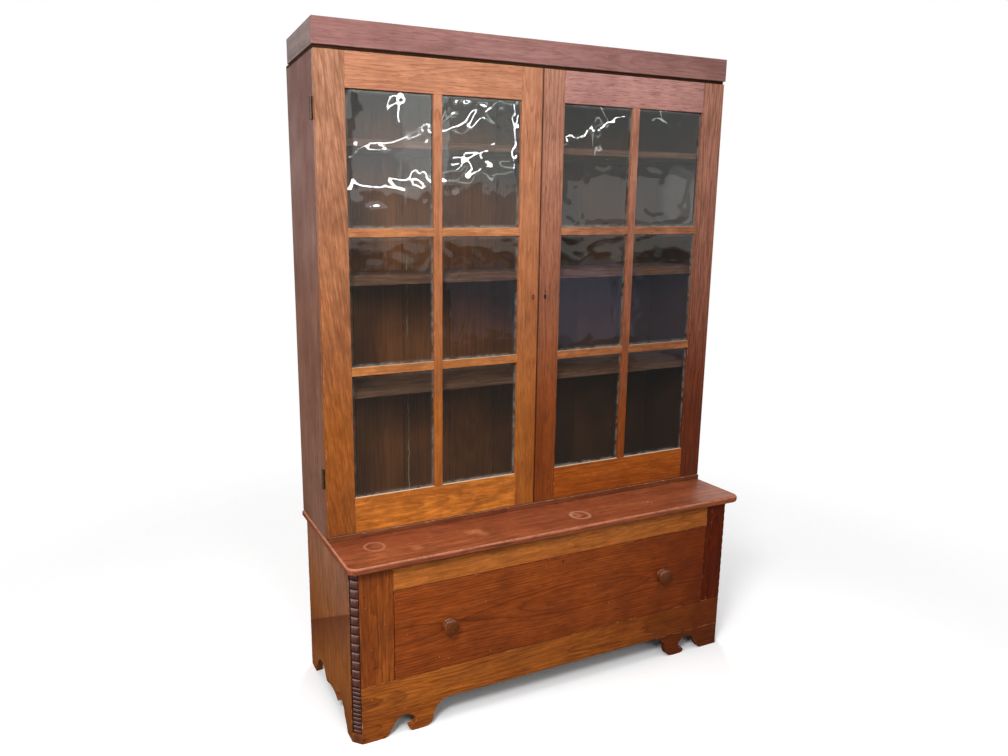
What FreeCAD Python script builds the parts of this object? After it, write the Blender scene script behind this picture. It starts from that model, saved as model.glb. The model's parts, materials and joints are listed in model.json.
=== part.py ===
import FreeCAD, Part
import Sketcher
import os
import re

# Step-back cupboard: a glazed two-door upper case standing on a lower case with one deep drawer.
# Millimetres. +Z is up, the front faces -Y, and the origin is on the floor under the middle of the
# whole piece, halfway from the wall behind it to the step board's front edge.

# Driving dimensions
SIZES = {
    # Overall form
    "total_height": 2100,
    "upper_width": 1468,
    "upper_side_depth": 284,
    "lower_inset": 10.5,
    "lower_depth": 484,
    "step_height": 587,
    # Boards
    "side_thick": 22,
    "front_thick": 22,
    "back_thick": 15,
    "back_rabbet": 10,
    "back_board_count": 8,
    "lower_board_count": 3,
    "board_gap": 1,
    "board_tongue": 6,
    "tongue_thick": 5,
    "shelf_thick": 20,
    "middle_shelf_thick": 30,
    "shelf_dado": 8,
    "shelf_setback": 12,
    "upper_shelf_share": 0.8432,
    "middle_shelf_share": 0.5652,
    "lower_shelf_share": 0.3135,
    # Step board
    "step_thick": 24,
    "step_side_overhang": 15,
    "step_front_overhang": 30,
    "step_corner_radius": 30,
    "step_edge_radius": 9,
    # Top of the upper case
    "base_rail_height": 17,
    "base_rail_proud": 5,
    "top_lap": 8.5,
    "top_lap_setback": 8,
    "top_tongue": 10,
    "cornice_height": 71,
    "cornice_thick": 20,
    "cornice_side_proud": 3.5,
    "cornice_front_proud": 2,
    "cornice_back_gap": 30,
    # Doors
    "door_thick": 22,
    "door_gap": 1,
    "door_end_gap": 1.5,
    "door_top_gap": 10,
    "meeting_gap": 2,
    "hinge_stile": 88,
    "left_meeting_stile": 75,
    "right_meeting_stile": 80,
    "top_rail": 98,
    "bottom_rail": 113,
    "sash_front": 10,
    "glass_rebate": 8,
    "bar_width": 28,
    "cross_bar_height": 26,
    "bar_stem": 10,
    "bar_setback": 3,
    "bar_tenon": 10,
    "pane_thick": 2.5,
    "pane_clearance": 1,
    "putty_depth": 7,
    "putty_width": 7,
    "putty_lip": 0.5,
    # Mortise and tenon joints
    "tenon_length": 45,
    "tenon_thick": 8,
    "tenon_shoulder": 12,
    # Butt hinges
    "hinge_length": 62,
    "hinge_from_top": 153,
    "hinge_from_bottom": 182,
    "hinge_leaf": 18,
    "leaf_thick": 2,
    "knuckle_radius": 4.6,
    "knuckle_gap": 0.3,
    "pin_offset": 5,
    "pin_radius": 2,
    "pin_clearance": 0.05,
    # Locks and bolts
    "door_lock_share": 0.5034,
    "lock_length": 60,
    "lock_width": 42,
    "lock_depth": 10,
    "lock_wall": 2,
    "lock_bolt_height": 20,
    "lock_bolt_thick": 6,
    "lock_bolt_length": 28,
    "lock_bolt_setback": 0.5,
    "lock_bolt_throw": 10,
    "bolt_clearance": 0.3,
    "keyhole_radius": 3.2,
    "keyhole_slot": 3.4,
    "keyhole_drop": 10,
    "left_keyhole_in": 19,
    "right_keyhole_in": 24,
    "nail_hole_radius": 1.6,
    "nail_hole_drop": 24,
    "top_bolt_radius": 4,
    "top_bolt_length": 96,
    "top_bolt_stand_off": 10,
    "top_bolt_throw": 12,
    "bolt_plate_width": 24,
    "bolt_plate_thick": 2,
    "bolt_guide_height": 14,
    "bolt_guide_wall": 4,
    "bolt_knob_length": 9,
    "bolt_knob_radius": 3,
    # Lower case front
    "corner_chamfer": 25,
    "left_stile_width": 132,
    "right_stile_width": 107,
    "stile_strip_width": 22,
    "stile_line_width": 1.2,
    "stile_line_depth": 1.5,
    "drawer_rail_height": 81,
    "skirt_height": 104,
    "foot_height": 84,
    "rail_tenon": 20,
    "stile_tenon": 22,
    # Scrolled bracket foot, measured from the case's corner
    "foot_flat": 100,
    "foot_neck": 133,
    "foot_neck_height": 46,
    "foot_eye_top": 62,
    "foot_eye_end": 202,
    "foot_eye_end_height": 37,
    "foot_beak": 179,
    "foot_beak_height": 15,
    "foot_cusp": 194,
    "foot_cusp_end": 228,
    "foot_ogee": 262,
    "foot_ogee_height": 37,
    "foot_length": 325,
    # Scrolled bottom edge of the side boards, measured from the back
    "rear_foot": 55,
    "rear_arch_peak": 108,
    "rear_arch_end": 158,
    "side_arch_height": 77,
    "drop_start": 174,
    "drop_start_height": 60,
    "drop_low": 202,
    "drop_low_height": 45,
    "side_beak": 318,
    "side_beak_height": 43,
    "side_eye": 300,
    "side_eye_height": 68,
    "side_neck": 384,
    "side_neck_height": 42,
    "front_foot": 412,
    # Carved strips let into the chamfered corners
    "strip_width": 33,
    "strip_let_in": 4,
    "strip_thick": 2,
    "strip_toe": 32,
    "bead_width": 27,
    "tall_bead_swell": 3,
    "short_bead_swell": 1.8,
    "bead_groove": 3,
    "tall_bead_count": 13,
    "short_bead_count": 11,
    # Drawer
    "drawer_clearance": 2,
    "drawer_depth": 440,
    "drawer_side_thick": 14,
    "drawer_side_drop": 8,
    "drawer_back_thick": 14,
    "drawer_bottom_thick": 10,
    "drawer_bottom_rise": 12,
    "drawer_groove": 6,
    "drawer_dado": 5,
    "dovetail_length": 15,
    "dovetail_root": 30,
    "dovetail_flare": 4,
    "dovetail_count": 4,
    "drawer_lock_offset": 7,
    "drawer_lock_drop": 21,
    "runner_thick": 22,
    "runner_bearing": 40,
    "stop_length": 24,
    "stop_height": 20,
    "block_size": 40,
    # Turned knobs
    "knob_left": 410,
    "knob_right": 421,
    "knob_share": 0.49,
    "knob_reach": 28,
    "knob_radius": 25,
    "knob_collar_radius": 23,
    "knob_collar_length": 6,
    "knob_neck_radius": 17,
    "knob_neck_at": 8.5,
    "knob_rim_radius": 24,
    "knob_rim_at": 18,
    "knob_crown": 4.5,
    "knob_stem_radius": 9,
    "knob_stem_clearance": 0.05,
}

# Places and spans that follow from the driving dimensions
PLACES = {
    "back": "(lower_depth + step_front_overhang) / 2",
    "back_face": "back - back_thick",
    "half_upper": "upper_width / 2",
    "half_lower": "half_upper - lower_inset",
    "upper_inside": "half_upper - side_thick",
    "lower_inside": "half_lower - side_thick",
    "case_front": "back - upper_side_depth",
    "door_back": "case_front - door_gap",
    "door_front": "door_back - door_thick",
    "lower_front": "back - lower_depth",
    "stile_back": "lower_front + front_thick",
    "step_under": "step_height - step_thick",
    "cornice_under": "total_height - cornice_height",
    "cornice_half": "half_upper + cornice_side_proud",
    "cornice_front": "door_front - cornice_front_proud",
    "side_top": "cornice_under - top_lap",
    "top_under": "side_top - top_tongue",
    "base_top": "step_height + base_rail_height",
    "upper_shelf_top": "base_top + (top_under - base_top) * upper_shelf_share",
    "middle_shelf_top": "base_top + (top_under - base_top) * middle_shelf_share",
    "lower_shelf_top": "base_top + (top_under - base_top) * lower_shelf_share",
    "door_bottom": "base_top + door_end_gap",
    "door_top": "cornice_under - door_top_gap",
    "door_lock_height": "door_bottom + (door_top - door_bottom) * door_lock_share",
    "glass_bottom": "door_bottom + bottom_rail",
    "glass_top": "door_top - top_rail",
    "sash_back": "door_front + sash_front",
    "bar_back": "door_back - bar_setback",
    "tenon_front": "(door_front + door_back - tenon_thick) / 2",
    "tenon_back": "(door_front + door_back + tenon_thick) / 2",
    "meeting_edge": "meeting_gap / 2",
    "hinge_sight": "half_upper - hinge_stile",
    "pivot_x": "half_upper + pin_offset",
    "pivot_y": "(case_front + door_back) / 2",
    "knuckle": "hinge_length / 3",
    "skirt_top": "foot_height + skirt_height",
    "opening_top": "step_under - drawer_rail_height",
    "knob_level": "skirt_top + (opening_top - skirt_top) * knob_share",
    "opening_left": "left_stile_width - half_lower",
    "opening_right": "half_lower - right_stile_width",
    "drawer_left": "opening_left + drawer_clearance",
    "drawer_right": "opening_right - drawer_clearance",
    "drawer_top": "opening_top - drawer_clearance",
    "drawer_end": "lower_front + drawer_depth",
    "drawer_side_top": "drawer_top - drawer_side_drop",
    "runner_under": "skirt_top - runner_thick",
    "front_tenon": "(lower_front + stile_back - tenon_thick) / 2",
    "front_tenon_end": "(lower_front + stile_back + tenon_thick) / 2",
    "top_bolt_y": "door_back + top_bolt_stand_off",
    "top_bolt_x": "meeting_edge + right_meeting_stile / 2",
    "top_bolt_end": "top_under - bolt_guide_wall",
    "crown_radius": "(knob_radius ^ 2 + knob_crown ^ 2) / (2 * knob_crown)",
}

doc = FreeCAD.newDocument("StepBackCupboard")
dims = doc.addObject("Spreadsheet::Sheet", "Dims")
for row, (alias, size) in enumerate(SIZES.items(), start=1):
    dims.set(f"A{row}", alias)
    dims.set(f"B{row}", str(size))
    dims.setAlias(f"B{row}", alias)
doc.recompute()

NODES = []
LEFT, RIGHT = -1, 1
SIDES = {"left": LEFT, "right": RIGHT}


def formula(words):
    """A formula in plain words, as an expression on the sheet's cells."""
    def look_up(match):
        word = match.group(0)
        if word in PLACES:
            return "(" + formula(PLACES[word]) + ")"
        return "Dims." + word if word in SIZES else word
    return re.sub(r"[a-z][a-z_0-9]*", look_up, words)


def value(words):
    return float(dims.evalExpression(formula(words)))


def count(alias):
    return round(value(alias))


def bind(thing, prop, words):
    thing.setExpression(prop, formula(words))


def place(thing, x="0", y="0", z="0"):
    for axis, words in zip("xyz", (x, y, z)):
        bind(thing, "Placement.Base." + axis, words)
    return thing


def keep(label, thing):
    """Name a finished piece; the name is also its file's."""
    thing.Label = label
    NODES.append(thing)
    return thing


def block(x, y, z, hand=RIGHT):
    """A squared block between two faces on each axis; a left-hand one is mirrored across the middle."""
    box = doc.addObject("Part::Box", "Block")
    bind(box, "Length", f"({x[1]}) - ({x[0]})")
    bind(box, "Width", f"({y[1]}) - ({y[0]})")
    bind(box, "Height", f"({z[1]}) - ({z[0]})")
    return place(box, x[0] if hand == RIGHT else f"-({x[1]})", y[0], z[0])


def both(words):
    return f"-({words})", words


def around(middle, width):
    return f"({middle}) - ({width}) / 2", f"({middle}) + ({width}) / 2"


def upright(radius, x, y, z, hand=RIGHT):
    """A round bar standing along Z."""
    bar = doc.addObject("Part::Cylinder", "Bar")
    bind(bar, "Radius", radius)
    bind(bar, "Height", f"({z[1]}) - ({z[0]})")
    return place(bar, x if hand == RIGHT else f"-({x})", y, z[0])


def level(radius, x, y, z, hand=RIGHT):
    """A round bar lying along Y."""
    bar = doc.addObject("Part::Cylinder", "Bar")
    bind(bar, "Radius", radius)
    bind(bar, "Height", f"({y[1]}) - ({y[0]})")
    bar.Placement.Rotation = FreeCAD.Rotation(FreeCAD.Vector(1, 0, 0), -90)
    return place(bar, x if hand == RIGHT else f"-({x})", y[0], z)


def join(*pieces):
    """Several blocks worked from one piece of stuff."""
    fuse = doc.addObject("Part::MultiFuse", "Join")
    fuse.Shapes = list(pieces)
    fuse.Refine = True
    return fuse


def cut(base, *tools):
    """A piece with its rebates, mortises and holes taken out."""
    piece = doc.addObject("Part::Cut", "Cut")
    piece.Base = base
    piece.Tool = tools[0] if len(tools) == 1 else join(*tools)
    piece.Refine = True
    return piece


def group(pieces):
    """Like pieces that share one name, each a solid of its own."""
    compound = doc.addObject("Part::Compound", "Group")
    compound.Links = list(pieces)
    return compound


def origin_feature(body, role):
    return next(item for item in body.Origin.OriginFeatures if item.Role == role)


def outline(body, plane, steps):
    """A closed outline on one of the body's own planes. A step is a corner (x, y), reached by a straight
    line, or (x, y, through_x, through_y), reached by an arc through that middle point."""
    sketch = body.newObject("Sketcher::SketchObject", "Outline")
    sketch.AttachmentSupport = [(origin_feature(body, plane), "")]
    sketch.MapMode = "FlatFace"
    corners = [FreeCAD.Vector(value(step[0]), value(step[1]), 0) for step in steps]
    ends = []
    for index, step in enumerate(steps):
        start, end = corners[index - 1], corners[index]
        if len(step) == 2:
            number = sketch.addGeometry(Part.LineSegment(start, end), False)
        else:
            middle = FreeCAD.Vector(value(step[2]), value(step[3]), 0)
            number = sketch.addGeometry(Part.Arc(start, middle, end), False)
        forward = (sketch.getPoint(number, 1) - start).Length < (sketch.getPoint(number, 2) - start).Length
        ends.append((number, 1, 2) if forward else (number, 2, 1))
    for index, step in enumerate(steps):
        number, first, last = ends[index]
        following, next_first, next_last = ends[(index + 1) % len(ends)]
        sketch.addConstraint(Sketcher.Constraint("Coincident", number, last, following, next_first))
        pin(sketch, number, last, step[0], step[1])
        if len(step) > 2:
            middle = FreeCAD.Vector(value(step[2]), value(step[3]), 0)
            point = sketch.addGeometry(Part.Point(middle), True)
            pin(sketch, point, 1, step[2], step[3])
            sketch.addConstraint(Sketcher.Constraint("PointOnObject", point, 1, number))
    return sketch


def pin(sketch, number, end, x, y):
    """Hold a point of an outline at a place worked out from the sheet."""
    for kind, words in (("DistanceX", x), ("DistanceY", y)):
        held = sketch.addConstraint(Sketcher.Constraint(kind, -1, 1, number, end, value(words)))
        bind(sketch, f"Constraints[{held}]", words)


def pad(body, sketch, length, both_ways=False, backwards=False):
    feature = body.newObject("PartDesign::Pad", "Pad")
    feature.Profile = sketch
    bind(feature, "Length", length)
    feature.SideType = "Symmetric" if both_ways else "One side"
    feature.Reversed = backwards
    return feature


def new_body():
    return doc.addObject("PartDesign::Body", "Body")


# Lower case: side boards with a scroll-cut bottom edge, rabbeted behind for the back boards
# and trimmed at the front to follow the corner's chamfer
def corner_trim(hand):
    """The wedge that the chamfer takes off a front corner, as a block turned by 45 degrees."""
    trim = doc.addObject("Part::Box", "Trim")
    bind(trim, "Length", "corner_chamfer * 2")
    bind(trim, "Width", "corner_chamfer * 2")
    bind(trim, "Height", "total_height")
    trim.Placement.Rotation = FreeCAD.Rotation(FreeCAD.Vector(0, 0, 1), -45 if hand == RIGHT else -135)
    slant = "corner_chamfer * sqrt(2) / 2"
    corner = "half_lower - corner_chamfer / 2"
    if hand == RIGHT:
        return place(trim, f"{corner} - {slant}", f"lower_front + corner_chamfer / 2 - {slant}")
    return place(trim, f"-({corner}) - {slant}", f"lower_front + corner_chamfer / 2 + {slant}")


def strip_seat(hand):
    """The shallow seat cut in a chamfer, from the toe up, for its carved strip."""
    seat = doc.addObject("Part::Box", "Seat")
    bind(seat, "Length", "strip_let_in * 2")
    bind(seat, "Width", "strip_width")
    bind(seat, "Height", "step_under - strip_toe")
    seat.Placement.Rotation = FreeCAD.Rotation(FreeCAD.Vector(0, 0, 1), -45 if hand == RIGHT else -135)
    deep = "strip_let_in * sqrt(2) / 2"
    slant = "strip_width * sqrt(2) / 4"
    corner = "half_lower - corner_chamfer / 2"
    front = f"lower_front + corner_chamfer / 2 + {deep}"
    if hand == RIGHT:
        return place(seat, f"{corner} - {deep} - {slant}", f"{front} - {slant}", "strip_toe")
    return place(seat, f"-({corner}) + {deep} - {slant}", f"{front} + {slant}", "strip_toe")


for name, hand in SIDES.items():
    board = new_body()
    scroll = outline(board, "YZ_Plane", [
        ("0", "step_under"),
        ("0", "0"),
        ("-rear_foot", "0"),
        ("-rear_arch_peak", "side_arch_height",
         "-(rear_foot + rear_arch_peak) * 0.485", "side_arch_height * 0.6"),
        ("-rear_arch_end", "side_arch_height",
         "-(rear_arch_peak + rear_arch_end) / 2", "side_arch_height * 1.05"),
        ("-drop_start", "drop_start_height"),
        ("-drop_low", "drop_low_height",
         "-(drop_start * 0.68 + drop_low * 0.32)", "drop_start_height * 0.27 + drop_low_height * 0.73"),
        ("-side_beak", "side_beak_height",
         "-(drop_low + side_beak) / 2", "drop_low_height * 1.31"),
        ("-side_eye", "side_eye_height",
         "-(side_eye * 0.72 + side_beak * 0.28)", "side_eye_height * 0.42 + side_beak_height * 0.58"),
        ("-side_neck", "side_neck_height",
         "-(side_eye + side_neck) / 2", "side_eye_height * 1.235"),
        ("-front_foot", "0",
         "-(side_neck * 0.4 + front_foot * 0.6)", "side_neck_height * 0.57"),
        ("front_thick - lower_depth", "0"),
        ("front_thick - lower_depth", "step_under"),
    ])
    pad(board, scroll, "side_thick")
    place(board, "lower_inside" if hand == RIGHT else "-half_lower", "back", "0")
    rabbet = block(("lower_inside", "lower_inside + back_rabbet"), ("back_face", "back"),
                   ("foot_height", "step_under"), hand)
    keep(f"lower_side_{name}", cut(board, rabbet, corner_trim(hand), strip_seat(hand)))

# Back of the lower case: level boards nailed into the rabbets
rise = "(step_under - foot_height + board_gap) / lower_board_count"
keep("lower_back_boards", group([
    block(both("lower_inside + back_rabbet"), ("back_face", "back"),
          (f"foot_height + {rise} * {index}", f"foot_height + {rise} * {index + 1} - board_gap"))
    for index in range(count("lower_board_count"))]))

# Front frame of the lower case: stiles standing on the skirt, a drawer rail between them,
# the skirt across the whole front and a scrolled bracket foot under each end of it
for name, hand in SIDES.items():
    width = f"{name}_stile_width"
    stile = join(
        block((f"half_lower - {width}", "half_lower"), ("lower_front", "stile_back"),
              ("skirt_top", "step_under"), hand),
        block(around(f"half_lower - {width} / 2 - corner_chamfer / 2", f"{width} / 2"),
              ("front_tenon", "front_tenon_end"), ("skirt_top - stile_tenon", "skirt_top"), hand))
    mortise = block((f"half_lower - {width}", f"half_lower - {width} + rail_tenon"),
                    ("front_tenon", "front_tenon_end"),
                    ("opening_top + tenon_shoulder", "step_under - tenon_shoulder"), hand)
    stile = cut(stile, mortise, corner_trim(hand), strip_seat(hand))
    if hand == RIGHT:
        line = around(f"half_lower - {width} + stile_strip_width", "stile_line_width")
        stile = cut(stile, block(line, ("lower_front", "lower_front + stile_line_depth"),
                                 ("skirt_top", "step_under")))
    keep(f"front_stile_{name}", stile)

rail = join(
    block(("opening_left", "opening_right"), ("lower_front", "stile_back"), ("opening_top", "step_under")),
    block(("opening_left - rail_tenon", "opening_right + rail_tenon"), ("front_tenon", "front_tenon_end"),
          ("opening_top + tenon_shoulder", "step_under - tenon_shoulder")))
lock_x = around("drawer_lock_offset", "lock_bolt_height + 2 * bolt_clearance")
lock_y = ("stile_back - lock_depth + lock_wall - bolt_clearance",
          "stile_back - lock_depth + lock_wall + lock_bolt_thick + bolt_clearance")
keep("drawer_rail", cut(rail, block(lock_x, lock_y, ("opening_top", "opening_top + lock_bolt_throw"))))

skirt = block(both("half_lower"), ("lower_front", "stile_back"), ("foot_height", "skirt_top"))
mortises = [
    block(around(f"half_lower - {name}_stile_width / 2 - corner_chamfer / 2", f"{name}_stile_width / 2"),
          ("front_tenon", "front_tenon_end"), ("skirt_top - stile_tenon", "skirt_top"), hand)
    for name, hand in SIDES.items()]
corners = [tool(hand) for hand in SIDES.values() for tool in (corner_trim, strip_seat)]
keep("skirt_rail", cut(skirt, *mortises, *corners))

for name, hand in SIDES.items():
    turn = "" if hand == LEFT else "-"
    foot = new_body()
    scroll = outline(foot, "XZ_Plane", [
        ("0", "foot_height"),
        ("0", "0"),
        (f"{turn}(foot_flat)", "0"),
        (f"{turn}(foot_neck)", "foot_neck_height",
         f"{turn}(foot_flat * 0.44 + foot_neck * 0.56)", "foot_neck_height * 0.46"),
        (f"{turn}(foot_eye_end)", "foot_eye_end_height",
         f"{turn}(foot_neck / 2 + foot_eye_end / 2)", "foot_eye_top"),
        (f"{turn}(foot_beak)", "foot_beak_height",
         f"{turn}(foot_eye_end * 0.78 + foot_beak * 0.22)",
         "foot_eye_end_height * 0.32 + foot_beak_height * 0.68"),
        (f"{turn}(foot_cusp)", "0",
         f"{turn}(foot_beak * 0.7071 + foot_cusp * 0.2929)", "foot_beak_height * 0.2929"),
        (f"{turn}(foot_cusp_end)", "0"),
        (f"{turn}(foot_ogee)", "foot_ogee_height",
         f"{turn}(foot_cusp_end * 0.24 + foot_ogee * 0.76)", "foot_ogee_height * 0.33"),
        (f"{turn}(foot_length)", "foot_height",
         f"{turn}(foot_ogee * 0.68 + foot_length * 0.32)", "foot_ogee_height * 0.3 + foot_height * 0.7"),
    ])
    pad(foot, scroll, "front_thick", backwards=True)
    place(foot, "-half_lower" if hand == LEFT else "half_lower", "lower_front", "0")
    keep(f"bracket_foot_{name}", cut(foot, corner_trim(hand), strip_seat(hand)))

# Carved strips let into the chamfers: tall beads beside the drawer and short ones down to the toe
for name, hand in SIDES.items():
    strip = new_body()
    lath = outline(strip, "XY_Plane", [
        ("-strip_width / 2", "0"),
        ("-strip_width / 2", "-strip_thick"),
        ("strip_width / 2", "-strip_thick"),
        ("strip_width / 2", "0"),
    ])
    pad(strip, lath, "step_under - strip_toe")
    stretches = (("0", "skirt_top - strip_toe", "short_bead"),
                 ("skirt_top - strip_toe", "step_under - skirt_top", "tall_bead"))
    for start, length, bead_kind in stretches:
        number = f"{bead_kind}_count"
        pitch = f"({length}) / {number}"
        bead = outline(strip, "YZ_Plane", [
            ("-strip_thick / 2", f"{start} + bead_groove / 2"),
            ("-strip_thick", f"{start} + bead_groove / 2"),
            ("-strip_thick", f"{start} + {pitch} - bead_groove / 2",
             f"-strip_thick - {bead_kind}_swell", f"{start} + {pitch} / 2"),
            ("-strip_thick / 2", f"{start} + {pitch} - bead_groove / 2"),
        ])
        swell = pad(strip, bead, "bead_width", both_ways=True)
        doc.recompute()
        row = strip.newObject("PartDesign::LinearPattern", "Row")
        row.Originals = [swell]
        row.Direction = (origin_feature(strip, "Z_Axis"), [""])
        bind(row, "Length", f"{pitch} * ({number} - 1)")
        bind(row, "Occurrences", number)
        strip.Tip = row
        doc.recompute()
    strip.Placement.Rotation = FreeCAD.Rotation(FreeCAD.Vector(0, 0, 1), 45 * hand)
    deep = "strip_let_in * sqrt(2) / 2"
    edge = f"half_lower - corner_chamfer / 2 - {deep}"
    front = f"lower_front + corner_chamfer / 2 + {deep}"
    place(strip, edge if hand == RIGHT else f"-({edge})", front, "strip_toe")
    keep(f"carved_corner_{name}", strip)

# Inside the lower case: runners with guides beside the drawer, kickers over it,
# stops behind it and blocks in the corners behind the feet
inner = {LEFT: "-(opening_left)", RIGHT: "opening_right"}
keep("drawer_runners", group(
    [block((f"{inner[hand]} - runner_bearing", "lower_inside"), ("stile_back", "back_face"),
           ("runner_under", "skirt_top"), hand) for hand in inner]
    + [block((inner[hand], "lower_inside"), ("stile_back", "back_face"),
             ("skirt_top", "skirt_top + runner_thick"), hand) for hand in inner]))
keep("drawer_kickers", group(
    [block((f"{inner[hand]} - runner_bearing", "lower_inside"), ("stile_back", "back_face"),
           ("opening_top", "opening_top + runner_thick"), hand) for hand in inner]))
keep("drawer_stops", group(
    [block((f"{inner[hand]} - runner_bearing", inner[hand]), ("drawer_end", "drawer_end + stop_length"),
           ("skirt_top", "skirt_top + stop_height"), hand) for hand in inner]))
keep("corner_blocks", group(
    [block(("lower_inside - block_size", "lower_inside"), ("stile_back", "stile_back + block_size"),
           ("foot_height / 2", "runner_under"), hand) for hand in inner]))

# Step board: one wide board over the whole lower case, round at the front corners and edges
top = new_body()
half = "half_lower + step_side_overhang"
front = "-(lower_depth + step_front_overhang)"
bow = "step_corner_radius * (1 - sqrt(2) / 2)"
plan = outline(top, "XY_Plane", [
    (half, "0"),
    (f"-({half})", "0"),
    (f"-({half})", f"{front} + step_corner_radius"),
    (f"step_corner_radius - ({half})", front, f"{bow} - ({half})", f"{front} + {bow}"),
    (f"{half} - step_corner_radius", front),
    (half, f"{front} + step_corner_radius", f"{half} - {bow}", f"{front} + {bow}"),
])
slab = pad(top, plan, "step_thick")
place(top, "0", "back", "step_under")
doc.recompute()
rims = []
for number, edge in enumerate(slab.Shape.Edges, start=1):
    flat = abs(edge.BoundBox.ZLength) < 0.001
    behind = edge.BoundBox.YMin > -0.001
    if flat and not behind:
        rims.append(f"Edge{number}")
nosing = top.newObject("PartDesign::Fillet", "Nosing")
nosing.Base = (slab, rims)
bind(nosing, "Radius", "step_edge_radius")
top.Tip = nosing
keep("step_board", top)

# Upper case: sides rabbeted behind and housed for the shelves, standing on the step board
SHELVES = {"upper": "shelf_thick", "middle": "middle_shelf_thick", "lower": "shelf_thick"}
HINGES = {"top": "door_top - hinge_from_top", "bottom": "door_bottom + hinge_from_bottom"}
for name, hand in SIDES.items():
    side = block(("upper_inside", "half_upper"), ("case_front", "back"), ("step_height", "side_top"), hand)
    housings = [block(("upper_inside", "upper_inside + back_rabbet"), ("back_face", "back"),
                      ("step_height", "side_top"), hand),
                block(("upper_inside", "upper_inside + shelf_dado"), ("case_front", "back_face"),
                      ("step_height", "base_top"), hand)]
    housings += [block(("upper_inside", "upper_inside + shelf_dado"),
                       ("case_front + shelf_setback", "back_face"),
                       (f"{shelf}_shelf_top - {thick}", f"{shelf}_shelf_top"), hand)
                 for shelf, thick in SHELVES.items()]
    housings += [block(("half_upper - hinge_leaf", "half_upper"), ("case_front", "case_front + leaf_thick"),
                       around(middle, "hinge_length"), hand) for middle in HINGES.values()]
    keep(f"upper_side_{name}", cut(side, *housings))

keep("upper_bottom_board", block(both("upper_inside + shelf_dado"), ("case_front", "back_face"),
                                 ("step_height", "base_top")))
keep("base_rail", block(both("half_upper"), ("door_front - base_rail_proud", "case_front"),
                        ("step_height", "base_top")))
for shelf, thick in SHELVES.items():
    keep(f"shelf_{shelf}", block(both("upper_inside + shelf_dado"),
                                 ("case_front + shelf_setback", "back_face"),
                                 (f"{shelf}_shelf_top - {thick}", f"{shelf}_shelf_top")))

lapped = join(block(both("upper_inside"), ("case_front", "back_face"), ("top_under", "side_top")),
              block(both("half_upper"), ("cornice_front + top_lap_setback", "back"),
                    ("side_top", "cornice_under")))
socket = upright("top_bolt_radius + bolt_clearance", "top_bolt_x", "top_bolt_y",
                 ("top_under", "top_under + top_bolt_throw"))
keep("upper_top_board", cut(lapped, socket))

# Back of the upper case: upright boards, tongued and grooved, nailed into the rabbets
boards = []
span = "2 * (upper_inside + back_rabbet)"
pitch = f"({span} + board_gap) / back_board_count"
tongue_y = around("back - back_thick / 2", "tongue_thick")
for index in range(count("back_board_count")):
    start = f"{pitch} * {index} - ({span}) / 2"
    end = f"{start} + {pitch} - board_gap"
    height = ("step_height", "side_top")
    board = block((start, end), ("back_face", "back"), height)
    if index < count("back_board_count") - 1:
        board = join(board, block((end, f"{end} + board_tongue"), tongue_y, height))
    if index > 0:
        board = cut(board, block((start, f"{start} + board_tongue"), tongue_y, height))
    boards.append(board)
keep("upper_back_boards", group(boards))

# Cornice: a plain deep board across the front and two returns butted behind it
keep("cornice_front", block(both("cornice_half"), ("cornice_front", "cornice_front + cornice_thick"),
                            ("cornice_under", "total_height")))
keep("cornice_returns", group(
    [block(("cornice_half - cornice_thick", "cornice_half"),
           ("cornice_front + cornice_thick", "back - cornice_back_gap"),
           ("cornice_under", "total_height"), hand) for hand in SIDES.values()]))


# Butt hinges: each leaf is a plate with its own knuckles. The pin is riveted in the case leaf's outer
# knuckles, and the door leaf's middle knuckle is bored to turn on it
def hinge_leaf(hand, middle, plate_y, knuckles):
    foot = f"({middle}) - hinge_length / 2"
    plate = block(("half_upper - hinge_leaf", "half_upper"), plate_y, around(middle, "hinge_length"), hand)
    parts = [plate]
    for index in knuckles:
        low = f"{foot} + knuckle * {index} + knuckle_gap / 2"
        high = f"{foot} + knuckle * {index + 1} - knuckle_gap / 2"
        parts.append(block(("half_upper", "pivot_x"), plate_y, (low, high), hand))
        parts.append(upright("knuckle_radius", "pivot_x", "pivot_y", (low, high), hand))
    return join(*parts)


def hinge_pin(radius, hand, middle):
    return upright(radius, "pivot_x", "pivot_y", around(middle, "hinge_length - knuckle_gap"), hand)


case_plate = ("case_front", "case_front + leaf_thick")
door_plate = ("door_back - leaf_thick", "door_back")
OUTER, INNER = (0, 2), (1,)
keep("case_hinge_leaves", group([join(hinge_leaf(hand, middle, case_plate, OUTER),
                                      hinge_pin("pin_radius", hand, middle))
                                 for hand in SIDES.values() for middle in HINGES.values()]))
for name, hand in SIDES.items():
    keep(f"{name}_hinge_leaves", group([cut(hinge_leaf(hand, middle, door_plate, INNER),
                                            hinge_pin("pin_radius + pin_clearance", hand, middle))
                                        for middle in HINGES.values()]))


# Glazed doors: stiles through, rails tenoned between them, and bars dividing six panes
def keyhole(x, z, depth, hand):
    """A round hole for the key's pipe with a slot below it for the bit."""
    slot = block(around(x, "keyhole_slot"), depth, (f"({z}) - keyhole_drop", z), hand)
    return [level("keyhole_radius", x, depth, z, hand), slot]


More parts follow.
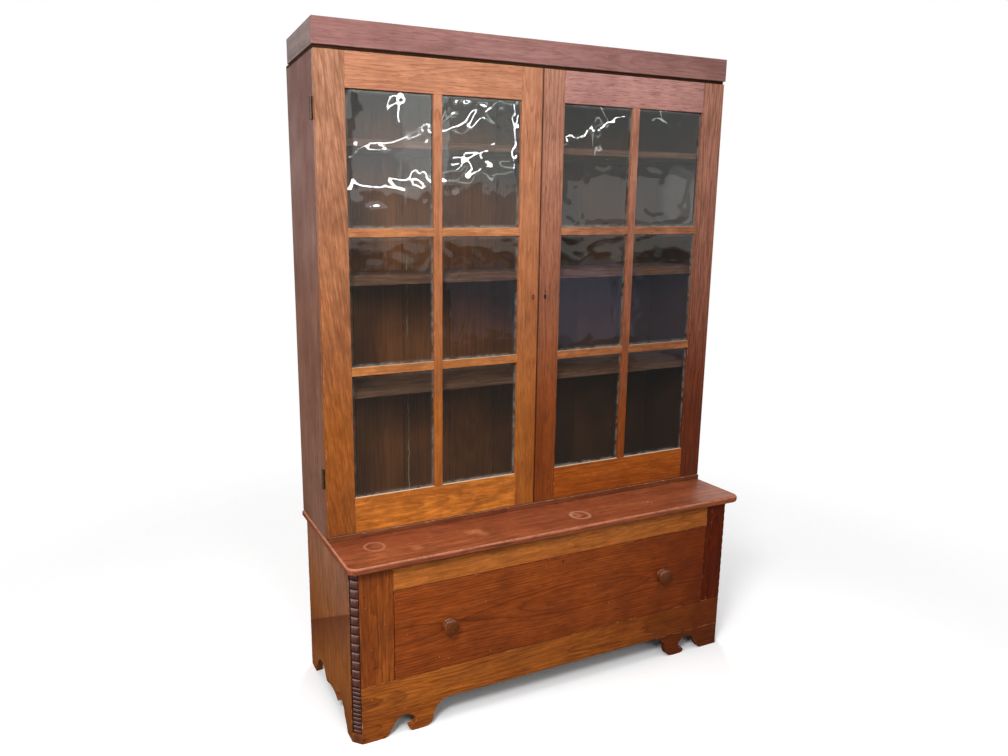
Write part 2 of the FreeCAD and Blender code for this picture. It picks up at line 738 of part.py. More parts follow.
for name, hand in SIDES.items():
    meet = f"{name}_meeting_stile"
    sight = f"meeting_edge + {meet}"
    middle = f"({sight} + hinge_sight) / 2"
    light = "(glass_top - glass_bottom - 2 * cross_bar_height) / 3"
    crosses = [f"glass_bottom + {light} * {index} + cross_bar_height * ({index} - 0.5)" for index in (1, 2)]
    thickness = ("door_front", "door_back")
    height = ("door_bottom", "door_top")
    rebate_y = ("sash_back", "door_back")
    stem_y = ("sash_back", "bar_back")
    tenon_y = ("tenon_front", "tenon_back")
    glass_z = ("glass_bottom - glass_rebate", "glass_top + glass_rebate")
    rails = {"top": ("glass_top", "door_top"), "bottom": ("door_bottom", "glass_bottom")}
    tenons = {rail: (f"{z[0]} + tenon_shoulder", f"{z[1]} - tenon_shoulder") for rail, z in rails.items()}
    stem_x = around(middle, "bar_stem")
    stem_heights = [around(cross, "bar_stem") for cross in crosses]

    tools = [block(("hinge_sight", "hinge_sight + glass_rebate"), rebate_y, glass_z, hand)]
    tools += [block(("hinge_sight", "hinge_sight + tenon_length"), tenon_y, z, hand)
              for z in tenons.values()]
    tools += [block(("hinge_sight", "hinge_sight + glass_rebate + bar_tenon"), stem_y, z, hand)
              for z in stem_heights]
    tools += [block(("half_upper - hinge_leaf", "half_upper"), door_plate,
                    around(hinge, "hinge_length"), hand) for hinge in HINGES.values()]
    stile = block(("hinge_sight", "half_upper"), thickness, height, hand)
    keep(f"{name}_hinge_stile", cut(stile, *tools))

    tools = [block((f"{sight} - glass_rebate", sight), rebate_y, glass_z, hand)]
    tools += [block((f"{sight} - tenon_length", sight), tenon_y, z, hand) for z in tenons.values()]
    tools += [block((f"{sight} - glass_rebate - bar_tenon", sight), stem_y, z, hand) for z in stem_heights]
    key_x = f"meeting_edge + {name}_keyhole_in"
    tools += keyhole(key_x, "door_lock_height", thickness, hand)
    lock_z = around("door_lock_height", "lock_length")
    bolt_z = around("door_lock_height", "lock_bolt_height + 2 * bolt_clearance")
    bolt_y = ("door_back - lock_depth + lock_wall - bolt_clearance",
              "door_back - lock_depth + lock_wall + lock_bolt_thick + bolt_clearance")
    if hand == LEFT:
        tools.append(block(("meeting_edge", "meeting_edge + lock_width"),
                           ("door_back - lock_depth", "door_back"), lock_z, hand))
    else:
        tools.append(block(("meeting_edge", "meeting_edge + lock_bolt_throw"), bolt_y, bolt_z, hand))
        tools.append(level("nail_hole_radius", key_x, thickness, "door_lock_height - nail_hole_drop", hand))
    stile = block(("meeting_edge", sight), thickness, height, hand)
    keep(f"{name}_meeting_stile", cut(stile, *tools))

    for rail, z in rails.items():
        ends = (f"{sight} - tenon_length", "hinge_sight + tenon_length")
        board = join(block((sight, "hinge_sight"), thickness, z, hand),
                     block(ends, tenon_y, tenons[rail], hand))
        inner_edge = z[0] if rail == "top" else f"{z[1]} - glass_rebate"
        socket = z[0] if rail == "top" else f"{z[1]} - glass_rebate - bar_tenon"
        keep(f"{name}_{rail}_rail", cut(
            board,
            block((sight, "hinge_sight"), rebate_y, (inner_edge, f"{inner_edge} + glass_rebate"), hand),
            block(stem_x, stem_y, (socket, f"{socket} + glass_rebate + bar_tenon"), hand)))

    bar = join(
        block(around(middle, "bar_width"), ("door_front", "sash_back"),
              ("glass_bottom", "glass_top"), hand),
        block(stem_x, stem_y, (f"{glass_z[0]} - bar_tenon", f"{glass_z[1]} + bar_tenon"), hand))
    keep(f"{name}_upright_bar", cut(bar, *[block(stem_x, stem_y, z, hand) for z in stem_heights]))

    bars = []
    for cross, stem_z in zip(crosses, stem_heights):
        face = block((sight, "hinge_sight"), ("door_front", "sash_back"),
                     around(cross, "cross_bar_height"), hand)
        stem = block((f"{sight} - glass_rebate - bar_tenon", "hinge_sight + glass_rebate + bar_tenon"),
                     stem_y, stem_z, hand)
        gap = block(around(middle, "bar_width"), ("door_front", "sash_back"),
                    around(cross, "cross_bar_height"), hand)
        bars.append(cut(join(face, stem), gap))
    keep(f"{name}_cross_bars", group(bars))

    columns = [(f"{sight} - glass_rebate", stem_x[0]), (stem_x[1], "hinge_sight + glass_rebate")]
    rows = [(glass_z[0], stem_heights[0][0]), (stem_heights[0][1], stem_heights[1][0]),
            (stem_heights[1][1], glass_z[1])]
    panes, putty = [], []
    for x in columns:
        for z in rows:
            panes.append(block((f"{x[0]} + pane_clearance", f"{x[1]} - pane_clearance"),
                               ("sash_back", "sash_back + pane_thick"),
                               (f"{z[0]} + pane_clearance", f"{z[1]} - pane_clearance"), hand))
            bed = ("sash_back + pane_thick", "sash_back + pane_thick + putty_depth")
            slope = doc.addObject("Part::Wedge", "Slope")
            low, high = (x[0], x[1]) if hand == RIGHT else (f"-({x[1]})", f"-({x[0]})")
            bind(slope, "Xmin", f"{low} + putty_width")
            bind(slope, "Xmax", f"{high} - putty_width")
            bind(slope, "Zmin", f"{z[0]} + putty_width")
            bind(slope, "Zmax", f"{z[1]} - putty_width")
            bind(slope, "X2min", f"{low} + putty_lip")
            bind(slope, "X2max", f"{high} - putty_lip")
            bind(slope, "Z2min", f"{z[0]} + putty_lip")
            bind(slope, "Z2max", f"{z[1]} - putty_lip")
            bind(slope, "Ymin", bed[0])
            bind(slope, "Ymax", bed[1])
            putty.append(cut(block(x, bed, z, hand), slope))
    keep(f"{name}_panes", group(panes))
    keep(f"{name}_putty", group(putty))

# Left door's lock, let in flush behind the meeting stile, and its sliding bolt
bolt_span = ("meeting_edge + lock_bolt_setback", "meeting_edge + lock_bolt_setback + lock_bolt_length")
lock = block(("meeting_edge", "meeting_edge + lock_width"), ("door_back - lock_depth", "door_back"),
             lock_z, LEFT)
way = block(("meeting_edge", f"{bolt_span[1]} + bolt_clearance"), bolt_y, bolt_z, LEFT)
keep("left_lock_case", cut(lock, way))
bolt_depth = ("door_back - lock_depth + lock_wall", "door_back - lock_depth + lock_wall + lock_bolt_thick")
keep("left_lock_bolt", block(bolt_span, bolt_depth, around("door_lock_height", "lock_bolt_height"), LEFT))

# Right door's top bolt: a plate with two guides behind the meeting stile, and the rod that slides in them
rod_low = "top_bolt_end - top_bolt_length"
guide_depth = ("door_back", "top_bolt_y + top_bolt_radius + bolt_guide_wall")
guide_low = f"{rod_low} + bolt_guide_height"
guide_high = "top_bolt_end - top_bolt_throw - bolt_guide_height"
guides = [block(around("top_bolt_x", "2 * (top_bolt_radius + bolt_guide_wall)"), guide_depth,
                (low, f"{low} + bolt_guide_height")) for low in (guide_low, guide_high)]
plate = block(around("top_bolt_x", "bolt_plate_width"), ("door_back", "door_back + bolt_plate_thick"),
              (rod_low, "top_bolt_end"))
bore = upright("top_bolt_radius + pin_clearance", "top_bolt_x", "top_bolt_y", (rod_low, "top_bolt_end"))
keep("right_bolt_plate", cut(join(plate, *guides), bore))
rod = upright("top_bolt_radius", "top_bolt_x", "top_bolt_y", (rod_low, "top_bolt_end"))
thumb = level("bolt_knob_radius", "top_bolt_x",
              ("top_bolt_y", "top_bolt_y + top_bolt_radius + bolt_knob_length"),
              f"({guide_low} + {guide_high} + bolt_guide_height) / 2 - top_bolt_throw / 2")
keep("right_top_bolt", join(rod, thumb))

# Drawer: front with half-blind dovetail sockets, grooved all round for the bottom
tails = {LEFT: [], RIGHT: []}
drawer_edge = {LEFT: "-(drawer_left)", RIGHT: "drawer_right"}
tail_pitch = "(drawer_side_top - skirt_top - drawer_bottom_rise) / dovetail_count"


def dovetail(hand, index):
    """One tail of a drawer side, wider at its end than at its root."""
    tail = doc.addObject("Part::Wedge", "Tail")
    centre = f"skirt_top + drawer_bottom_rise + {tail_pitch} * ({index} + 0.5)"
    outer = drawer_edge[hand]
    x = (f"{outer} - drawer_side_thick", outer)
    low, high = x if hand == RIGHT else (f"-({x[1]})", f"-({x[0]})")
    flare = around(centre, "dovetail_root + 2 * dovetail_flare")
    root = around(centre, "dovetail_root")
    for prop, words in (("Xmin", low), ("Xmax", high), ("X2min", low), ("X2max", high),
                        ("Ymin", "stile_back - dovetail_length"), ("Ymax", "stile_back"),
                        ("Zmin", flare[0]), ("Zmax", flare[1]), ("Z2min", root[0]), ("Z2max", root[1])):
        bind(tail, prop, words)
    return tail


for hand in tails:
    tails[hand] = [dovetail(hand, index) for index in range(count("dovetail_count"))]
groove_z = ("skirt_top + drawer_bottom_rise", "skirt_top + drawer_bottom_rise + drawer_bottom_thick")
side_inner = {hand: f"{drawer_edge[hand]} - drawer_side_thick" for hand in tails}
bottom_x = (f"-({side_inner[LEFT]} + drawer_groove)", f"{side_inner[RIGHT]} + drawer_groove")
bottom_y = ("stile_back - drawer_groove", "drawer_end")

face = block(("drawer_left", "drawer_right"), ("lower_front", "stile_back"),
             ("skirt_top + drawer_clearance", "drawer_top"))
lock_at = around("drawer_lock_offset", "lock_length")
lock_deep = ("stile_back - lock_depth", "stile_back")
lock_high = ("drawer_top - lock_width", "drawer_top")
knob_x = {"left": "-knob_left", "right": "knob_right"}
openings = [block(bottom_x, ("stile_back - drawer_groove", "stile_back"), groove_z),
            block(lock_at, lock_deep, lock_high)]
openings += [level("knob_stem_radius + knob_stem_clearance", x, ("lower_front", "stile_back"), "knob_level")
             for x in knob_x.values()]
openings += keyhole("drawer_lock_offset", "opening_top - drawer_lock_drop",
                    ("lower_front", "stile_back"), RIGHT)
keep("drawer_front", cut(face, *openings, *tails[LEFT], *tails[RIGHT]))

for name, hand in SIDES.items():
    board = block((side_inner[hand], drawer_edge[hand]), ("stile_back", "drawer_end"),
                  ("skirt_top", "drawer_side_top"), hand)
    groove = block((side_inner[hand], f"{side_inner[hand]} + drawer_groove"), ("stile_back", "drawer_end"),
                   groove_z, hand)
    dado = block((side_inner[hand], f"{side_inner[hand]} + drawer_dado"),
                 ("drawer_end - 2 * drawer_back_thick", "drawer_end - drawer_back_thick"),
                 (groove_z[1], "drawer_side_top"), hand)
    keep(f"drawer_side_{name}", cut(join(board, *tails[hand]), groove, dado))
keep("drawer_back", block((f"-({side_inner[LEFT]} + drawer_dado)", f"{side_inner[RIGHT]} + drawer_dado"),
                          ("drawer_end - 2 * drawer_back_thick", "drawer_end - drawer_back_thick"),
                          (groove_z[1], "drawer_side_top")))
keep("drawer_bottom", block(bottom_x, bottom_y, groove_z))

# Drawer lock behind the front's top edge, with a bolt that rises into the rail
lock = block(lock_at, lock_deep, lock_high)
bolt_rise = ("drawer_top - lock_bolt_setback - lock_bolt_length", "drawer_top - lock_bolt_setback")
way = block(lock_x, lock_y, (f"{bolt_rise[0]} - bolt_clearance", "drawer_top"))
keep("drawer_lock_case", cut(lock, way))
bolt_depth = ("stile_back - lock_depth + lock_wall",
              "stile_back - lock_depth + lock_wall + lock_bolt_thick")
keep("drawer_lock_bolt", block(around("drawer_lock_offset", "lock_bolt_height"), bolt_depth, bolt_rise))

# Turned knobs: a domed head over a flat collar, with a stem through the drawer front
knobs = []
for x in knob_x.values():
    knob = new_body()
    turning = outline(knob, "XZ_Plane", [
        ("0", "-front_thick"),
        ("knob_stem_radius", "-front_thick"),
        ("knob_stem_radius", "0"),
        ("knob_collar_radius", "0"),
        ("knob_collar_radius", "knob_collar_length"),
        ("knob_neck_radius", "knob_neck_at"),
        ("knob_rim_radius", "knob_rim_at"),
        ("knob_radius", "knob_reach - knob_crown"),
        ("0", "knob_reach",
         "knob_radius / 2",
         "knob_reach - crown_radius + sqrt(crown_radius ^ 2 - knob_radius ^ 2 / 4)"),
    ])
    turned = knob.newObject("PartDesign::Revolution", "Turning")
    turned.Profile = turning
    turned.ReferenceAxis = (turning, ["V_Axis"])
    turned.Angle = 360
    knob.Placement.Rotation = FreeCAD.Rotation(FreeCAD.Vector(1, 0, 0), 90)
    knobs.append(place(knob, x, "lower_front", "knob_level"))
keep("drawer_knobs", group(knobs))

# Build, check every piece and write one file for each
doc.recompute()
for thing in doc.Objects:
    if "Invalid" in thing.State or "Error" in thing.State:
        raise RuntimeError(f"{thing.Label} failed: {thing.State}")
for thing in NODES:
    if thing.Shape.isNull() or not thing.Shape.isValid() or not thing.Shape.Solids:
        raise RuntimeError(f"{thing.Label} has no valid shape")
os.makedirs("parts", exist_ok=True)
for thing in NODES:
    thing.Shape.exportStep(f"parts/{thing.Label}.step")
    print(f"{thing.Label}: {len(thing.Shape.Solids)} solids, {thing.Shape.Volume / 1000:.1f} cm3")
print(len(NODES), "pieces")
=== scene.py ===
import functools
import itertools
import json
import math
import bmesh
import bpy
from mathutils import Matrix, Quaternion, Vector, noise

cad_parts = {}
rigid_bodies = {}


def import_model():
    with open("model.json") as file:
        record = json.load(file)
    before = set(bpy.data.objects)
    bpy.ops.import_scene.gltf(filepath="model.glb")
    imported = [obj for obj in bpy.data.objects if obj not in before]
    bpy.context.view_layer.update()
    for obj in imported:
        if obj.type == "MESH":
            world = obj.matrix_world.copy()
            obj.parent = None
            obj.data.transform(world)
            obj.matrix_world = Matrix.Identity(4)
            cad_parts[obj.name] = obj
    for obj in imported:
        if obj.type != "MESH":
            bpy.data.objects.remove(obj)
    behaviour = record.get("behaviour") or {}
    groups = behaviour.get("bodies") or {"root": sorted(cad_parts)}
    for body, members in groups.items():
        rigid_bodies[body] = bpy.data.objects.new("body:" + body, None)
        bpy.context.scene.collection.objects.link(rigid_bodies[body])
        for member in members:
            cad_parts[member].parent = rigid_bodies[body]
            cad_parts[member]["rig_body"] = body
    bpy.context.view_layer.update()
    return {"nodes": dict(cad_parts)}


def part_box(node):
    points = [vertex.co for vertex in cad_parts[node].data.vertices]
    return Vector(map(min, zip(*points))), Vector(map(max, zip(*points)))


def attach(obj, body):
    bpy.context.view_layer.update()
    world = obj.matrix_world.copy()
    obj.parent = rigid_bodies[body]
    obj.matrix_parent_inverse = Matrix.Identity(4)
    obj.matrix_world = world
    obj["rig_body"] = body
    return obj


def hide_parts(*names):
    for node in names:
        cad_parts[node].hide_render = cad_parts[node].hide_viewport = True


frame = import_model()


# Lower case sides: wide walnut boards with upright grain and a scrolled bottom edge, varnished
# and gone grey-brown with age. The front frame, step board and back boards are nailed to them.
def linear(colour):
    """An sRGB hex colour as linear light."""
    parts = [int(colour[i:i + 2], 16) / 255 for i in (1, 3, 5)]
    return [p / 12.92 if p <= 0.04045 else ((p + 0.055) / 1.055) ** 2.4 for p in parts] + [1.0]


def add(tree, kind, links, operation=None, **settings):
    """One node with its settings. Links give each input a value, a hex colour, a node's output, or a
    node, which stands for its first output in use. A kind of no other family is a shader node."""
    other_family = kind.startswith(("Geometry", "Function", "NodeGroup"))
    node = tree.nodes.new(kind if other_family else "ShaderNode" + kind)
    if operation:
        node.operation = operation
    for name, setting in settings.items():
        setattr(node, name, setting)
    for name, given in links.items():
        if isinstance(given, str):
            given = linear(given)
        if isinstance(given, bpy.types.Node):
            given = next(output for output in given.outputs if output.enabled)
        if isinstance(given, bpy.types.NodeSocket):
            tree.links.new(given, node.inputs[name])
        else:
            node.inputs[name].default_value = given
    return node


def fresh_material(name):
    """A material with no shader yet, add for its tree, and the place on the object."""
    material = bpy.data.materials.new(name)
    material.use_nodes = True
    material.node_tree.nodes.clear()
    put = functools.partial(add, material.node_tree)
    return material, put, put("TexCoord", {}).outputs["Object"]


def aged_wood(name, tones, ring=6, heart=(0, 50), wander=(30, 55), gloss=0.42, shine=0.18, figure=0.9,
              lines=0.5, fibres=0.5, pores=0.55, slant=0.0, curl=0.0, dust_and_highlight=0.0, nicks=0.0, vary=0.0,
              drip=None, dark_band=None, rubs=(0.55, 0.68), painted_tone=None, painted_span=("Z", 0.9, 2.05), marks=()):
    """Sawn board in its finish, in four tones: dark lines, body, light streaks and worn arrises. Growth
    rings of ring mm lie round a heart that wanders along the board at heart mm from its middle, so they
    come out as arches; fibres and pores run along it, leaning by slant, and curl blotches them. Dust
    with a painted highlight lies on ledges, and nicks show pale wood. Boards vary in depth of colour,
    and old paint drips down one joint. A painted tone takes over between two places on an axis: painted
    sheen on the doors and painted reflection on the lower sides pale their tops, painted shade darkens
    the right ends of low pieces and back boards, and the upper sides darken towards the top. A dark band
    lies behind a line, as bare wood on inner faces, as grime with painted shade in the door gap, and as a
    painted reflection on the lower sides: the way it faces, how far out it lies, its depth, colour and
    share. A mark is a stain round a place: its radius and width in mm, its colour and its share."""
    dark, body, light, worn = tones.split()
    material, put, spot = fresh_material(name)
    grain = put("Attribute", {}, attribute_name="grain").outputs["Vector"]
    bare = put("Attribute", {}, attribute_name="worn").outputs["Fac"]
    lean = put("Mapping", {"Vector": grain, "Rotation": (0, 0, slant)})
    # Drawn out along the grain: the heart's path bends about once in each metre, rings wobble over
    # 30 mm, streaks are 60 mm wide, fibres 6 mm and finer, and pores 2 mm, coarse enough to show
    drawn = {}
    for kind, run, scale, detail in (
            ("path", grain, (1.1, 0, 0), 1.5), ("wobble", grain, (4, 34, 34), 3.0),
            ("streak", grain, (1.4, 17, 17), 4.0), ("fibre", lean, (7, 170, 170), 5.0),
            ("pore", lean, (24, 430, 430), 1.0)):
        stretched = put("Mapping", {"Vector": run, "Scale": scale})
        drawn[kind] = put("TexNoise", {"Vector": stretched, "Scale": 1.0, "Detail": detail})
    # Varnish darkens in patches about 150 mm across, and arrises are rubbed in stretches of 20 mm
    drawn["cloud"] = put("TexNoise", {"Vector": spot, "Scale": 6.5, "Detail": 5.0})
    drawn["rub"] = put("TexNoise", {"Vector": spot, "Scale": 40.0, "Detail": 3.0})
    shares = {}
    for kind, source, start, end, most in (
            ("broad", "streak", 0.32, 0.68, figure), ("thread", "fibre", 0.62, 0.36, fibres),
            ("pit", "pore", 0.57, 0.68, pores), ("dull", "cloud", 0.42, 0.72, 0.35),
            ("rubbed", "rub", rubs[0], rubs[1], 0.8), ("held", "rub", 0.58, 0.40, 0.7)):
        shares[kind] = put("MapRange", {0: drawn[source], 1: start, 2: end, 4: most})
    # Rings round the wandering heart, each darkest at its late edge and stronger in some years
    wobble, late_edge, good_years = 0.009, 3.0, 0.45
    sway = (0, wander[0] / 500, wander[1] / 500)
    shift = (0, (heart[0] - wander[0]) / 1000, (heart[1] - wander[1]) / 1000)
    centre = put("VectorMath", {0: drawn["path"].outputs["Color"], 1: sway, 2: shift}, "MULTIPLY_ADD")
    across = put("VectorMath", {0: grain, 1: (0, 1, 1), 2: centre}, "MULTIPLY_ADD")
    radius = put("VectorMath", {0: across}, "LENGTH")
    wobbly = put("Math", {0: drawn["wobble"], 1: wobble, 2: radius}, "MULTIPLY_ADD")
    year = put("Math", {0: wobbly, 1: 1000 / ring}, "MULTIPLY")
    season = put("Math", {0: year}, "FRACT")
    late = put("Math", {0: season, 1: late_edge}, "POWER")
    good_year = put("TexNoise", {"W": year, "Scale": good_years, "Detail": 0.0}, noise_dimensions="1D")
    line = put("Math", {0: late, 1: good_year}, "MULTIPLY")
    line = put("Math", {0: line, 1: 2 * lines}, "MULTIPLY")
    colour = put("Mix", {0: shares["broad"], 6: body, 7: light}, data_type="RGBA")
    # A painted tone: painted sheen and reflection pale the tops, painted shade darkens the right ends
    if painted_tone:
        uneven, lift = 0.35, 0.17
        axis, start, end = painted_span
        reach = put("SeparateXYZ", {0: spot}).outputs[axis]
        reach = put("Math", {0: drawn["cloud"], 1: uneven, 2: reach}, "MULTIPLY_ADD")
        tone_shift = put("MapRange", {0: reach, 1: start + lift, 2: end + lift})
        colour = put("Mix", {0: tone_shift, 6: colour, 7: painted_tone}, data_type="RGBA")
    depths = []
    if curl:
        # Blotches of curled figure about 45 mm long and 20 mm wide
        stretched = put("Mapping", {"Vector": lean, "Scale": (22, 50, 50)})
        blotch = put("TexNoise", {"Vector": stretched, "Scale": 1.0, "Detail": 3.0})
        depths.append(put("MapRange", {0: blotch, 1: 0.35, 2: 0.65, 3: 1 - curl, 4: 1 + curl}))
    if vary:
        board = put("Attribute", {}, attribute_name="board").outputs["Fac"]
        depths.append(put("MapRange", {0: board, 3: 1 - vary, 4: 1 + vary}))
    for depth in depths:
        colour = put("Mix", {0: 1.0, 6: colour, 7: depth}, data_type="RGBA", blend_type="MULTIPLY")
    for share in (line, shares["thread"], shares["pit"]):
        colour = put("Mix", {0: share, 6: colour, 7: dark}, data_type="RGBA")
    colour = put("Mix", {0: shares["dull"], 6: colour, 7: "#8a6a5a"},
                 data_type="RGBA", blend_type="MULTIPLY")
    # On top: grime and bare wood along the arrises, then what this board has besides
    layers = []
    for kind, tone in (("held", dark), ("rubbed", worn)):
        layers.append((put("Math", {0: shares[kind], 1: bare}, "MULTIPLY"), tone))
    if dust_and_highlight or drip is not None:
        facing = put("SeparateXYZ", {0: put("NewGeometry", {}).outputs["Normal"]}).outputs
    if dust_and_highlight:
        # Dust with a painted highlight, full on level ledges, gone where a face leans by some 50 degrees
        layers.append((put("MapRange", {0: facing["Z"], 1: 0.6, 2: 0.95, 4: dust_and_highlight}), "#dcc4aa"))
    if nicks:
        # About one nick on each square decimetre, 1 to 3 mm across
        chip = put("TexVoronoi", {"Vector": spot, "Scale": 30.0})
        layers.append((put("MapRange", {0: chip, 1: 0.05, 2: 0.02, 4: nicks}), "#d3ac8a"))
    if drip is not None:
        # Runs 3 mm wide that stray by a few mm and break off, on the face towards the doors
        stray = 0.016
        aside = put("SeparateXYZ", {0: spot}).outputs["X"]
        aside = put("Math", {0: drawn["rub"], 1: stray, 2: aside}, "MULTIPLY_ADD")
        aside = put("Math", {0: aside, 1: drip + stray / 2}, "SUBTRACT")
        aside = put("Math", {0: aside}, "ABSOLUTE")
        run = put("MapRange", {0: aside, 1: 0.0028, 2: 0.0008})
        drops = put("MapRange", {0: drawn["cloud"], 1: 0.46, 2: 0.58, 4: 0.9})
        inside = put("MapRange", {0: facing["Y"], 1: -0.2, 2: -0.8})
        for share in (drops, inside):
            run = put("Math", {0: run, 1: share}, "MULTIPLY")
        layers.append((run, "#b8a68c"))
    # A dark band behind a line: bare inner faces, grime with painted shade in the door gap, and painted
    # reflection on the lower sides
    if dark_band:
        band_edge = 0.006
        way, shore, depth, stain, most = dark_band
        out = put("VectorMath", {0: spot, 1: way}, "DOT_PRODUCT")
        band_inside = put("MapRange", {0: out, 1: shore - depth, 2: shore, 4: most})
        dry = put("MapRange", {0: out, 1: shore + band_edge, 2: shore})
        layers.append((put("Math", {0: band_inside, 1: dry}, "MULTIPLY"), stain))
    for place, ring_radius, width, tone, most in marks:
        away = put("VectorMath", {0: spot, 1: place}, "DISTANCE")
        ragged = put("Math", {0: drawn["rub"], 1: width / 1000, 2: away}, "MULTIPLY_ADD")
        band = put("Math", {0: ragged, 1: (ring_radius + width / 2) / 1000}, "SUBTRACT")
        band = put("Math", {0: band}, "ABSOLUTE")
        layers.append((put("MapRange", {0: band, 1: width / 1000, 2: width / 4000, 4: most}), tone))
    for share, tone in layers:
        colour = put("Mix", {0: share, 6: colour, 7: tone}, data_type="RGBA")
    relief = put("Math", {0: shares["thread"], 1: shares["pit"]}, "ADD")
    bump = put("Bump", {"Height": relief, "Strength": 0.35, "Distance": 0.0004}, invert=True)
    sheen = put("MapRange", {0: drawn["cloud"], 1: 0.3, 2: 0.7, 3: gloss - 0.07, 4: gloss + 0.1})
    shader = put("BsdfPrincipled", {"Base Color": colour, "Roughness": sheen, "Normal": bump,
                                    "Specular IOR Level": shine})
    put("OutputMaterial", {"Surface": shader})
    return material


# Points nearer than this to each other, in metres, are one
weld = 1e-5


def cad_copy(node):
    """A copy of a CAD node's mesh, its loose triangles joined."""
    mesh = bmesh.new()
    mesh.from_mesh(frame["nodes"][node].data)
    bmesh.ops.remove_doubles(mesh, verts=mesh.verts, dist=weld)
    return mesh


def islands(mesh):
    """The separate boards of a mesh, each as a list of its points."""
    left = set(mesh.verts)
    while left:
        board, todo = [], [left.pop()]
        while todo:
            point = todo.pop()
            board.append(point)
            for edge in point.link_edges:
                other = edge.other_vert(point)
                if other in left:
                    left.remove(other)
                    todo.append(other)
        yield board


def first_point(board):
    """The first of a board's points from left to right, by which boards are put in order."""
    return tuple(round(place, 5) for place in min(point.co[:] for point in board))


def corners(board):
    """The lowest and highest corner of a board's points."""
    return [Vector([pick(point.co[i] for point in board) for i in range(3)]) for pick in (min, max)]


strip_seats = [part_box("carved_corner_left"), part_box("carved_corner_right")]
# Metres round a seat and before a rear face within which points belong to it
seat_margin, rear_margin = 0.003, 0.003


def in_seat(edge):
    """Whether an edge lies in the seat of a carved strip, where it is left as cut."""
    return any(all(low[i] - seat_margin < point.co[i] < high[i] + seat_margin
                   for point in edge.verts for i in range(3)) for low, high in strip_seats)


def blank(name):
    """A new object with an empty mesh."""
    return bpy.data.objects.new(name, bpy.data.meshes.new(name))


show = bpy.context.scene.collection.objects.link


def stand_in(mesh, node, finish, materials, crease=40):
    """A finished piece that shows in place of a CAD node and moves with its body. Edges sharper than
    crease degrees stay sharp."""
    piece = blank(f"{node}_{finish}")
    show(piece)
    mesh.to_mesh(piece.data)
    mesh.free()
    piece.data.shade_smooth()
    piece.data.set_sharp_from_angle(angle=math.radians(crease))
    for material in materials:
        piece.data.materials.append(material)
    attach(piece, frame["nodes"][node]["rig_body"])
    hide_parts(node)
    return piece


# Each board is cut from its own stretch of grain, some metres on, and has its own depth of colour
board_numbers = itertools.count(1)
grain_step, golden_ratio = 3.7, 0.618


def dress(node, slot, material, along, face, arris=0.8, shortest=8.0, sunk=0.0, polished=None):
    """A board as the CAD has it, with its arrises eased by hand and its own run of grain. A back board's
    rear face is planed in by sunk mm, so that nail heads on it stay within the CAD's depth. A rounded
    edge is rubbed pale, with a painted highlight, where its face leans by between two shares of upright."""
    mesh = cad_copy(node)
    flat, sharp_from = math.radians(0.6), math.radians(35)
    bmesh.ops.dissolve_limit(mesh, angle_limit=flat, verts=mesh.verts, edges=mesh.edges)
    worn = mesh.faces.layers.float.new("worn")
    if arris:
        sharp = [edge for edge in mesh.edges
                 if edge.is_manifold and edge.calc_length() > shortest / 1000
                 and edge.calc_face_angle_signed() > sharp_from and not in_seat(edge)]
        eased = bmesh.ops.bevel(mesh, geom=sharp, offset=arris / 1000, offset_type="OFFSET", segments=2,
                                profile=0.5, affect="EDGES", clamp_overlap=False)
        for part in eased["faces"]:
            part[worn] = 1.0
    if polished:
        for part in mesh.faces:
            part.normal_update()
            part[worn] = float(polished[0] < part.normal.z < polished[1])
    if sunk:
        rear = max(point.co.y for point in mesh.verts)
        for point in mesh.verts:
            if point.co.y > rear - rear_margin:
                point.co.y -= sunk / 1000
    grain = mesh.verts.layers.float_vector.new("grain")
    tone = mesh.verts.layers.float.new("board")
    run, depth = "XYZ".index(along), "XYZ".index(face)
    width = 3 - run - depth
    for board in sorted(islands(mesh), key=first_point):
        number = next(board_numbers)
        low, high = corners(board)
        for point in board:
            lie = [point.co[i] - (low[i] + high[i]) / 2 for i in range(3)]
            point[grain] = Vector((lie[run] + grain_step * number, lie[width], lie[depth]))
            point[tone] = number * golden_ratio % 1
    piece = stand_in(mesh, node, "dressed", [material])
    piece.modifiers.new("flat faces stay flat", "WEIGHTED_NORMAL").keep_sharp = True


# Thin old varnish with painted reflection: paler and greyer above, and a dark warm brown band below a
# slanting line where the varnish mirrors a darker ground; long quiet arches
lower_side_wood = aged_wood(
    "grey brown varnished walnut", "#4e280f #92521f #a2602d #a57a58",
    ring=9, heart=(20, 70), gloss=0.45, shine=0.1, painted_tone="#a3735a", painted_span=("Z", 0.25, 0.6),
    dark_band=((0, 0.55, 1), 0.31, 0.14, "#522310", 0.75))
for node in ("lower_side_left", "lower_side_right"):
    dress(node, "front_walnut", lower_side_wood, "Z", "X", arris=1.2, shortest=1.5)


# Lower back boards, runners, kickers, stops and blocks: bare poplar, sawn and planed, browned
# by age. They close the lower case behind and carry and guide the drawer.
bare_poplar = dict(ring=7, heart=(0, 80), gloss=0.7, shine=0.12)
back_planed = 0.4
# Dry unvarnished wood: matt, with plain wide grain
inside_wood = aged_wood(
    "bare poplar browned by age", "#3c1d0d #864721 #9f5a2e #946644", **bare_poplar)
dress("lower_back_boards", "inside_poplar", inside_wood, "X", "Y", arris=1.6, sunk=back_planed)
for node, along, face in (("drawer_runners", "Y", "Z"), ("drawer_kickers", "Y", "Z"),
                          ("drawer_stops", "X", "Z"), ("corner_blocks", "Z", "X")):
    dress(node, "inside_poplar", inside_wood, along, face)


# Front frame of the lower case: walnut stiles, drawer rail, skirt and hook-scrolled bracket feet,
# tenoned together and glued up, in worn satin varnish.
frame_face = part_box("front_stile_left")[0].y
